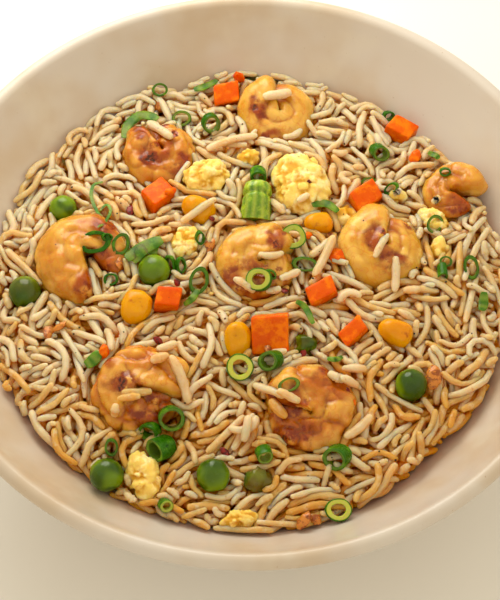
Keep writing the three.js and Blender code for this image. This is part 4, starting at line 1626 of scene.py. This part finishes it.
def strand_tree():
    tree, given, result = new_tree(
        "Swept Strands", sides="int", section_width="number", section_height="number",
        material="material",
    )
    lines = add(tree, "GeometryNodeMeshToCurve")
    circle = add(tree, "GeometryNodeCurvePrimitiveCircle", {"Radius": 1.0})
    size = add(tree, "ShaderNodeCombineXYZ", {"Z": 1.0})
    section = add(tree, "GeometryNodeTransform")
    width = add(tree, "GeometryNodeInputNamedAttribute", {"Name": "width"}, data_type="FLOAT")
    level = add(tree, "GeometryNodeSetCurveNormal", mode="Z_UP")
    swept = add(tree, "GeometryNodeCurveToMesh", {"Fill Caps": True})
    join(
        tree,
        ((given, "Geometry"), (lines, "Mesh")),
        ((lines, "Curve"), (level, "Curve")),
        ((level, "Curve"), (swept, "Curve")),
        ((given, "Sides"), (circle, "Resolution")),
        ((given, "Section Width"), (size, "X")),
        ((given, "Section Height"), (size, "Y")),
        ((circle, "Curve"), (section, "Geometry")),
        ((size, "Vector"), (section, "Scale")),
        ((section, "Geometry"), (swept, "Profile Curve")),
        ((width, "Attribute"), (swept, "Scale")),
    )
    finish_tree(tree, (swept, "Mesh"), given, result)
    return tree


STRAND_TREE = strand_tree()
BURIED_FROM, BURIED_BELOW = 0.4, 2.5
TOP_GRAIN_SHADE = 0.55  # painted underside shade on a grain on top, against one deep in the heap
NEARBY = (-4, 0, 4)  # cells
open_top = sum(np.roll(ground, step, axis=(0, 1))
               for step in itertools.product(NEARBY, repeat=2)) / len(NEARBY)**2


def grain_rings(line, radius):
    """Places and widths of the rings of one grain: close together where its ends are rounded."""
    length = np.linalg.norm(np.diff(line, axis=0), axis=1).sum()
    end = GRAIN_END * radius / length
    middle = np.linspace(end[-1], 1 - end[-1], MIDDLE_RINGS + 2)[1:-1]
    share = np.concatenate([end, middle, 1 - end[::-1]])
    bead = np.arange(BEADS) / (BEADS - 1)
    places = np.stack([np.interp(share, bead, axis) for axis in line.T], axis=1)
    widths = np.concatenate([GRAIN_END_WIDTHS, np.ones(len(middle)), GRAIN_END_WIDTHS[::-1]])
    taper = rng.uniform(-TAPER, TAPER) * (share - 0.5)
    uneven = 1 + rng.normal(0, UNEVEN, len(share)) + taper
    return places, radius * widths * uneven


def buried(places):
    """0 for what lies on top, 1 for what lies a few grains deep."""
    cover = open_top[map_cell(places[:, 0]), map_cell(places[:, 1])] - places[:, 2]
    return smooth_step(BURIED_FROM, BURIED_BELOW, cover)


LESS_FAR, MORE_NEAR = 0.55, 0.5
FACES_UP, FACES_DOWN = 0.75, -0.1  # upward lean of the skin where the painted underside shade begins and is full


def painted_falloff_share(x, y):
    """Painted light falloff: least tan at the brightly lit far side, most at the dim near right."""
    less = LESS_FAR * smooth_step(0, 65, y)
    return 1 - less + MORE_NEAR * smooth_step(10, 60, 0.3 * x - y)


def grains_piece(name, grains, material):
    points, edges, widths, tones = [], [], [], []
    for xs, ys, zs, radius, tone in grains:
        places, width = grain_rings(np.stack([xs, ys, zs], axis=1), radius)
        edges += chain(len(places), len(points) * len(places))
        points.append(places)
        widths.append(width)
        # Painted light falloff: the tan tone is made paler at the far side and tanner at the near
        # right.
        tone = tone * painted_falloff_share(places[:, 0], places[:, 1])
        tones.append(np.clip(tone + rng.normal(0, MOTTLED, len(places)), 0, 1))
    places = np.concatenate(points)
    # The deep grains are stored for their amber: partly sauce, partly painted shade.
    piece = mesh_object(name, places, edges, width=np.concatenate(widths),
                        tone=np.concatenate(tones), soaked=buried(places))
    run_tree(piece, STRAND_TREE, sides=GRAIN_SIDES, section_width=MM,
             section_height=GRAIN_FLATNESS * MM, material=material)
    normals, skin = np.empty((2, len(piece.data.vertices) * 3))
    piece.data.vertex_normals.foreach_get("vector", normals)
    piece.data.vertices.foreach_get("co", skin)
    skin = skin.reshape(-1, 3) / MM
    # Painted shade under each grain: most on grains deep in the heap, least at the far side.
    share = painted_falloff_share(skin[:, 0], skin[:, 1]) * (TOP_GRAIN_SHADE + (1 - TOP_GRAIN_SHADE) * buried(skin))
    below = smooth_step(FACES_UP, FACES_DOWN, normals[2::3])
    store_values(piece.data, "underside", share * below)
    return piece


# %% Rice finish
def rice_finish():
    finish = Finish("fried rice grain", tint(213, 193, 160), depth=4.0,
                    depth_colour=(1.0, 0.66, 0.3), coat=0.14)
    # The stored tone holds each grain's tan, with the painted light falloff in it.
    tone = finish.stored("tone")
    finish.coat_with(tint(208, 168, 104), finish.ramp(tone, 0.15, 0.6))
    finish.coat_with(tint(206, 150, 66), finish.ramp(tone, 0.45, 0.9))
    finish.coat_with(tint(208, 148, 58), finish.times(finish.blotches(14, 0.48, 0.64), 0.45))
    finish.coat_with(tint(218, 198, 170), finish.times(finish.blotches(2.2, 0.52, 0.66), 0.5))
    # Painted shade: amber on the undersides of the grains.
    finish.coat_with(tint(242, 146, 8), finish.times(finish.stored("underside"), 0.7))
    finish.coat_with(tint(180, 108, 22), finish.times(finish.blotches(1.3, 0.62, 0.74), 0.5))
    # Amber on deep grains: partly sauce, partly painted shade between the grains.
    finish.coat_with(tint(255, 146, 0), finish.times(finish.stored("soaked"), 0.95))
    return finish.skin(grain=0.7, depth=0.7, wet=0.28, dry=0.55)


RICE_GRAIN = rice_finish()
for kind, grains in laid.items():
    piece = grains_piece(kind, grains, RICE_GRAIN)
    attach(piece, "root")

# %% [markdown]
# ## Scattered scallion
#
# Thin green rings, thick lime rings, short tubes and shreds of leaf lie all over the top. Rings
# are set where they show in the picture and rest on whatever is under them. Shreds are flat
# strips that follow the ground from point to point, made with the same tree as the grains.

# %% Scallion rings on the heap
# picture point; half widths and length; turns in degrees; paleness
THICK_RINGS = {
    "lime ring by the large carrot": ((240, 371), (3.5, 3.5, 2.4), (30, 0, 0), 1.0),
    "ring on the middle prawn": ((293, 245), (3.3, 3.3, 1.2), (30, 0, 20), 0.75),
    "ring under it": ((259, 283), (3.4, 3.0, 1.8), (26, -14, 0), 0.8),
    "cut lime ring at the front": ((338, 514), (3.3, 2.9, 1.6), (24, 6, 0), 1.0),
    "small pale end": ((166, 510), (1.8, 1.6, 2.4), (40, 20, 0), 0.7),
}
THIN_RINGS = {
    "folded ring": ((305, 268), (3.5, 1.9, 2.2), (36, 0, -6), 0.2),
    "dark tube by the carrot": ((271, 364), (2.9, 2.5, 3.6), (40, -30, 30), 0.15),
    "ring on the front prawn": ((289, 386), (2.8, 1.7, 0.9), (28, 0, 14), 0.25),
    "tube right of the front prawn": ((337, 461), (3.2, 2.9, 4.0), (48, -26, 0), 0.15),
    "small tube below the prawn": ((264, 458), (2.1, 1.8, 3.6), (60, 10, 20), 0.3),
    "loop on the left prawn": ((95, 242), (4.2, 2.9, 0.7), (22, -6, 8), 0.0),
    "loop beside it": ((121, 246), (2.3, 3.0, 0.9), (34, 20, -24), 0.1),
    "knot on the loop": ((107, 239), (1.5, 1.1, 1.4), (30, 30, 0), 0.0),
    "ring below the left prawn": ((111, 279), (1.9, 1.6, 1.4), (30, -10, 0), 0.0),
    "tall ring by the pea": ((199, 283), (2.5, 3.6, 1.5), (30, 8, -14), 0.1),
    "far left ring": ((182, 122), (2.6, 2.2, 1.6), (36, 0, -10), 0.3),
    "far ring on its side": ((211, 127), (2.5, 2.9, 1.8), (62, 24, 30), 0.2),
    "farthest ring": ((160, 95), (2.2, 1.8, 1.6), (36, 0, 10), 0.1),
    "tube at the far right": ((379, 155), (2.6, 2.1, 3.2), (56, 20, -30), 0.2),
    "thin ring by the carrot": ((368, 182), (2.2, 1.6, 0.7), (32, 20, 20), 0.2),
    "thin ring on the egg": ((435, 225), (2.1, 2.5, 0.7), (34, 10, -30), 0.2),
    "ring at the right edge": ((471, 270), (2.0, 3.2, 1.0), (34, 10, 6), 0.1),
    "ring of the right clump": ((446, 263), (1.7, 1.4, 1.0), (34, 0, 0), 0.1),
    "tube of the right clump": ((442, 272), (1.7, 1.3, 3.6), (80, 0, 64), 0.1),
    "tube over the stalk": ((258, 176), (2.2, 1.9, 3.4), (66, 0, 0), 0.05),
    "far right bit": ((388, 116), (1.7, 1.3, 1.8), (50, 20, 0), 0.0),
    "right bit": ((391, 192), (2.2, 1.4, 1.6), (50, -20, 40), 0.0),
    "right edge bit": ((445, 174), (1.5, 1.1, 1.6), (50, 0, 0), 0.0),
    "left front bit": ((112, 453), (1.6, 2.2, 1.6), (40, 0, 0), 0.1),
    "bit on the tube pair": ((150, 436), (2.7, 2.2, 2.6), (60, -24, 10), 0.05),
    "dark bit by the egg": ((200, 240), (1.2, 1.8, 1.4), (50, 20, 0), 0.0),
    "bit by the lime ring": ((271, 277), (1.6, 0.9, 2.0), (50, 0, -40), 0.1),
    "half ring left of the pea": ((171, 268), (1.4, 2.4, 1.6), (34, -30, 16), 0.05),
    "half ring right of the pea": ((181, 267), (1.2, 2.3, 1.6), (34, 30, 4), 0.05),
}


FOOT_POINTS = 16
RING_SETTLES = 0.72  # share of its foot that has to be clear of the ground


def resting_ring(point, size, turns, pale):
    """Sets a ring on the highest ground beneath it, tilted as asked."""
    x, y, _ = spot_on_heap(*point)
    half_x, half_y, length = size
    reach = np.array([half_x, half_y, length / 2])
    matrix = turn_matrix(*np.radians(turns))
    angle = np.linspace(0, 2 * math.pi, FOOT_POINTS + 1)[:-1]
    foot = np.stack([np.cos(angle), np.sin(angle), -1 + 0 * angle], axis=1) * reach @ matrix.T
    below = ground[map_cell(x + foot[:, 0]), map_cell(y + foot[:, 1])] - foot[:, 2]
    height = np.quantile(below, RING_SETTLES)
    return (x, y, height), size, turns_for_tree(matrix), pale


def turns_for_tree(matrix):
    """The same turn as the angles that an instance rotation takes, in degrees."""
    return np.degrees(Matrix(matrix.tolist()).to_euler("XYZ"))


for name, wall, table in (("lime_scallion_rings", LIME_WALL, THICK_RINGS),
                          ("green_scallion_rings", GREEN_WALL, THIN_RINGS)):
    spots = [resting_ring(*row) for row in table.values()]
    piece = rings(name, spots, wall, SCALLION_LEAF)
    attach(piece, "root")

# %% Shreds of scallion leaf
# picture points along the shred; half width in millimetres
SHREDS = {
    "leaf over the pea": ([(126, 259), (138, 252), (150, 247), (162, 240)], 2.1),
    "leaf under it": ([(133, 263), (146, 258), (158, 253)], 1.9),
    "shred by the middle carrot": ([(296, 303), (305, 310), (313, 327)], 0.9),
    "shred on the sweetcorn": ([(312, 207), (325, 211), (338, 215)], 1.2),
    "farthest shred": ([(194, 94), (205, 91), (217, 84)], 1.1),
    "left shred": ([(86, 369), (93, 362), (100, 354)], 1.7),
    "arc round the far left prawn": ([(125, 143), (128, 129), (139, 119), (151, 118), (158, 124)], 1.5),
    "curl over the left prawn": ([(103, 184), (94, 190), (92, 202), (97, 213), (104, 222)], 0.5),
    "loop of that curl": ([(100, 213), (107, 209), (111, 215), (104, 224), (98, 229)], 0.45),
    "tail of the tall ring": ([(198, 292), (192, 301), (184, 307)], 1.0),
    "shred behind the front prawn": ([(327, 360), (335, 361), (342, 363)], 0.8),
    "shred at the right edge": ([(483, 298), (483, 306), (481, 314)], 1.3),
    "shred at the far right": ([(428, 154), (434, 160), (438, 167)], 0.9),
}
SHRED_THICKNESS = 0.13  # of its width
SHRED_BEADS, SHRED_SIDES = 15, 10
SHRED_LIFT = 0.9
STREAKS = 14


def smooth_line(points, count):
    """A smooth curve through a few points, by blending a cubic through each four of them."""
    padded = np.concatenate([[2 * points[0] - points[1]], points, [2 * points[-1] - points[-2]]])
    spots = []
    for place in np.linspace(0, len(points) - 1 - TINY, count):
        i, t = int(place), place - int(place)
        p0, p1, p2, p3 = padded[i:i + 4]
        spots.append(0.5 * (2 * p1 + (p2 - p0) * t + (2 * p0 - 5 * p1 + 4 * p2 - p3) * t**2
                            + (3 * p1 - p0 - 3 * p2 + p3) * t**3))
    return np.array(spots)


def shreds_piece(name, material):
    points, edges, widths, pale = [], [], [], []
    for number, (line, half_width) in enumerate(SHREDS.values()):
        path = smooth_line(np.array([spot_on_heap(*spot) for spot in line]), SHRED_BEADS)
        drape = draped_heights(path[:, 0], path[:, 1], half_width)
        path[:, 2] = drape - half_width + SHRED_LIFT
        edges += chain(SHRED_BEADS, number * SHRED_BEADS)
        share = np.linspace(0, 1, SHRED_BEADS)
        points.append(path)
        widths.append(half_width * (0.55 + 0.45 * np.sin(math.pi * share) ** 0.6))
        pale.append(0.16 + 0.12 * np.sin(STREAKS * share + number))
    pale = np.concatenate(pale)
    piece = mesh_object(name, np.concatenate(points), edges, width=np.concatenate(widths),
                        pale=pale, through=np.ones(len(pale)))
    run_tree(piece, STRAND_TREE, sides=SHRED_SIDES, section_width=MM,
             section_height=SHRED_THICKNESS * MM, material=material)
    return piece


shreds = shreds_piece("scallion_shreds", SCALLION_LEAF)
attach(shreds, "root")

# %% [markdown]
# ## Pepper, chilli and browned bits
#
# Ground pepper and small flakes stick to everything. One tree sets a small rough crumb on each
# point, with its own turn and size, so pepper, chilli flakes, browned onion and carrot shavings
# differ only in their points, sizes and finish.

# %% Crumb tree
def crumb_tree():
    tree, given, result = new_tree(
        "Crumbs", seed="int", roughness="number", detail="int", material="material"
    )
    ball = add(tree, "GeometryNodeMeshIcoSphere", {"Radius": 1.0})
    noise = add(tree, "ShaderNodeTexNoise", {"Scale": 1.4, "Detail": 1.0})
    centred = add(tree, "ShaderNodeVectorMath", {1: (0.5, 0.5, 0.5)}, operation="SUBTRACT")
    amount = add(tree, "ShaderNodeVectorMath", operation="SCALE")
    rough = add(tree, "GeometryNodeSetPosition")
    placed = add(tree, "GeometryNodeInstanceOnPoints")
    size = add(tree, "GeometryNodeInputNamedAttribute", {"Name": "size"}, data_type="FLOAT_VECTOR")
    turn = add(tree, "FunctionNodeRandomValue", {1: (0.5, 0.5, 6.28)}, data_type="FLOAT_VECTOR")
    join(
        tree,
        ((given, "Detail"), (ball, "Subdivisions")),
        ((ball, "Mesh"), (rough, "Geometry")),
        ((noise, "Color"), (centred, 0)),
        ((centred, 0), (amount, 0)),
        ((given, "Roughness"), (amount, "Scale")),
        ((amount, 0), (rough, "Offset")),
        ((rough, "Geometry"), (placed, "Instance")),
        ((given, "Geometry"), (placed, "Points")),
        ((given, "Seed"), (turn, "Seed")),
        ((turn, 0), (placed, "Rotation")),
        ((size, "Attribute"), (placed, "Scale")),
    )
    finish_tree(tree, (placed, "Instances"), given, result)
    return tree


CRUMB_TREE = crumb_tree()
CRUMB_ROUGHNESS = 0.7


def crumbs(name, points, sizes, material, detail, seed):
    piece = mesh_object(name, points, size=np.asarray(sizes) * MM)
    run_tree(piece, CRUMB_TREE, seed=seed, roughness=CRUMB_ROUGHNESS, detail=detail,
             material=material)
    outward_normals(piece)
    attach(piece, "root")
    return piece


# %% Pepper on everything
PEPPER_COUNT = 420
SMALLEST_PEPPER, LARGEST_PEPPER, PEPPER_FLATNESS = 0.13, 0.36, 0.7
SPECK_RISE = 0.1  # of their size, by which their middles stand over the ground


def scattered(count, low, high, flat):
    """Random places on top of the heap, and a size for each speck."""
    angle = rng.uniform(0, 2 * math.pi, count)
    out = np.sqrt(rng.random(count)) * (RICE_OUTLINE.min() - 1)
    x, y = out * np.cos(angle), out * np.sin(angle)
    size = low + (high - low) * rng.random(count) ** 2
    z = ground[map_cell(x), map_cell(y)] + SPECK_RISE * size
    return np.stack([x, y, z], axis=1), np.stack([size, 0.8 * size, flat * size], axis=1)


def pepper_finish():
    finish = Finish("ground pepper", tint(38, 26, 18))
    finish.coat_with(tint(92, 58, 30), finish.blotches(0.6, 0.5, 0.6))
    return finish.skin(grain=0.2, depth=0.4, wet=0.5, dry=0.7)


specks = scattered(PEPPER_COUNT, SMALLEST_PEPPER, LARGEST_PEPPER, PEPPER_FLATNESS)
pepper = crumbs("pepper_specks", *specks, pepper_finish(), detail=1, seed=1)

# %% Chilli flakes, browned bits and shavings
# picture point and half sizes in millimetres
CHILLI_FLAKES = {
    "by the left prawn": ((131, 211), (1.6, 1.2, 0.6)),
    "on the sweetcorn": ((212, 219), (0.9, 0.8, 0.5)),
    "on the egg": ((310, 182), (0.8, 0.6, 0.4)),
    "at the front": ((225, 453), (1.6, 0.9, 0.6)),
    "on the middle prawn": ((285, 291), (1.1, 1.0, 0.4)),
    "by the crumpled pea": ((303, 354), (1.3, 1.0, 0.6)),
    "behind the front left prawn": ((158, 341), (1.4, 0.9, 0.6)),
    "by the carrot": ((177, 283), (1.0, 0.8, 0.5)),
    "under the front prawn": ((347, 392), (1.1, 0.8, 0.5)),
}
BROWNED_BITS = {
    "left edge": ((49, 332), (2.6, 1.5, 0.8)),
    "left front": ((70, 356), (1.6, 1.1, 0.7)),
    "front": ((304, 521), (2.4, 1.7, 0.9)),
    "front beside it": ((315, 520), (1.6, 1.3, 0.8)),
    "above the egg": ((160, 106), (1.6, 1.2, 0.7)),
    "onion by the egg": ((208, 247), (2.6, 1.6, 0.9)),
    "onion by the corn": ((330, 236), (2.2, 1.3, 0.9)),
    "onion on the right": ((433, 378), (3.2, 2.2, 1.1)),
    "onion at the left": ((60, 327), (1.9, 1.0, 0.7)),
    "onion at the front prawn": ((268, 348), (1.8, 1.0, 0.7)),
    "under the left prawn": ((119, 262), (2.2, 1.2, 0.8)),
}
CARROT_BITS = {
    "by the corn": ((309, 236), (1.5, 1.0, 0.7)),
    "beside the right prawn": ((336, 257), (2.2, 2.8, 1.2)),
    "far right": ((415, 158), (2.2, 1.7, 1.2)),
    "left of the egg": ((170, 192), (1.8, 1.2, 1.0)),
    "front left": ((104, 352), (1.8, 1.4, 1.0)),
    "under the carrot": ((352, 402), (1.1, 0.8, 0.6)),
    "far side fin": ((239, 79), (1.6, 1.1, 2.2)),
}


BIT_RISE = 0.3  # of its half height


def shown_bits(table):
    sizes = [size for _, size in table.values()]
    middles = [spot_on_heap(*point) + [0, 0, BIT_RISE * size[2]] for point, size in table.values()]
    return np.array(middles), np.array(sizes)


def chilli_finish():
    finish = Finish("chilli flake", tint(134, 22, 10), coat=0.3)
    finish.coat_with(tint(70, 10, 6), finish.blotches(0.8, 0.48, 0.6))
    return finish.skin(grain=0.4, depth=0.4, wet=0.3, dry=0.5)


def onion_finish():
    finish = Finish("browned onion", tint(206, 134, 48), depth=1.0, coat=0.35)
    finish.coat_with(tint(150, 78, 22), finish.blotches(1.6, 0.46, 0.6))
    finish.coat_with(tint(84, 38, 12), finish.blotches(0.9, 0.6, 0.7))
    return finish.skin(grain=0.5, depth=0.35, wet=0.25, dry=0.45)


flakes = crumbs("chilli_flakes", *shown_bits(CHILLI_FLAKES), chilli_finish(), detail=3, seed=2)
onion = crumbs("browned_bits", *shown_bits(BROWNED_BITS), onion_finish(), detail=3, seed=3)
shavings = crumbs("carrot_shavings", *shown_bits(CARROT_BITS), CARROT_FLESH, detail=3, seed=4)

# %% [markdown]
# ## Stage and light
#
# The bowl stands on a plain pale floor. A warm sky gives most of the light. A soft lamp stands
# behind the bowl to the left, so the left wall falls into shade, the right wall is lit and wet
# things show soft highlights on their far side. A warmer one fills in from the right.

# %% Floor, lamps and sky
FLOOR_SIDE = 3000.0


def floor():
    half = FLOOR_SIDE / 2
    corners = [(-half, -half, 0), (half, -half, 0), (half, half, 0), (-half, half, 0)]
    ground_plane = mesh_object("floor", corners, faces=[(0, 1, 2, 3)])
    finish = Finish("pale floor", tint(240, 238, 234))
    finish.coat_with(tint(234, 231, 226), finish.blotches(260, 0.4, 0.6))
    dress(ground_plane, finish.skin(grain=40, depth=0.02, wet=0.7, dry=0.8))


def lamp(name, place, aim, size, watts, colour):
    light = bpy.data.lights.new(name, "AREA")
    light.shape = "DISK"
    light.size = size * MM
    light.energy = watts
    light.color = colour
    holder = bpy.data.objects.new(name, light)
    bpy.context.scene.collection.objects.link(holder)
    holder.location = Vector(place) * MM
    holder.rotation_euler = (Vector(aim) - Vector(place)).to_track_quat("-Z", "Y").to_euler()


floor()
lamp("window", place=(-60, 190, 185), aim=(5, 30, 40), size=200, watts=0.5,
     colour=(1.0, 0.965, 0.87))
lamp("bounce", place=(700, -300, 600), aim=(0, 0, 40), size=700, watts=0.3,
     colour=(1.0, 0.86, 0.55))
sky = bpy.data.worlds.new("soft room")
sky.use_nodes = True
background = sky.node_tree.nodes["Background"]
background.inputs["Color"].default_value = (1.0, 0.905, 0.71, 1.0)
background.inputs["Strength"].default_value = 0.96
bpy.context.scene.world = sky
bpy.context.scene.view_settings.view_transform = "Standard"
print("lamps:", [light.name for light in bpy.data.lights])

# %% [markdown]
# ## The last update
#
# The view layer is brought up to date once more.

# %% Final update
bpy.context.view_layer.update()
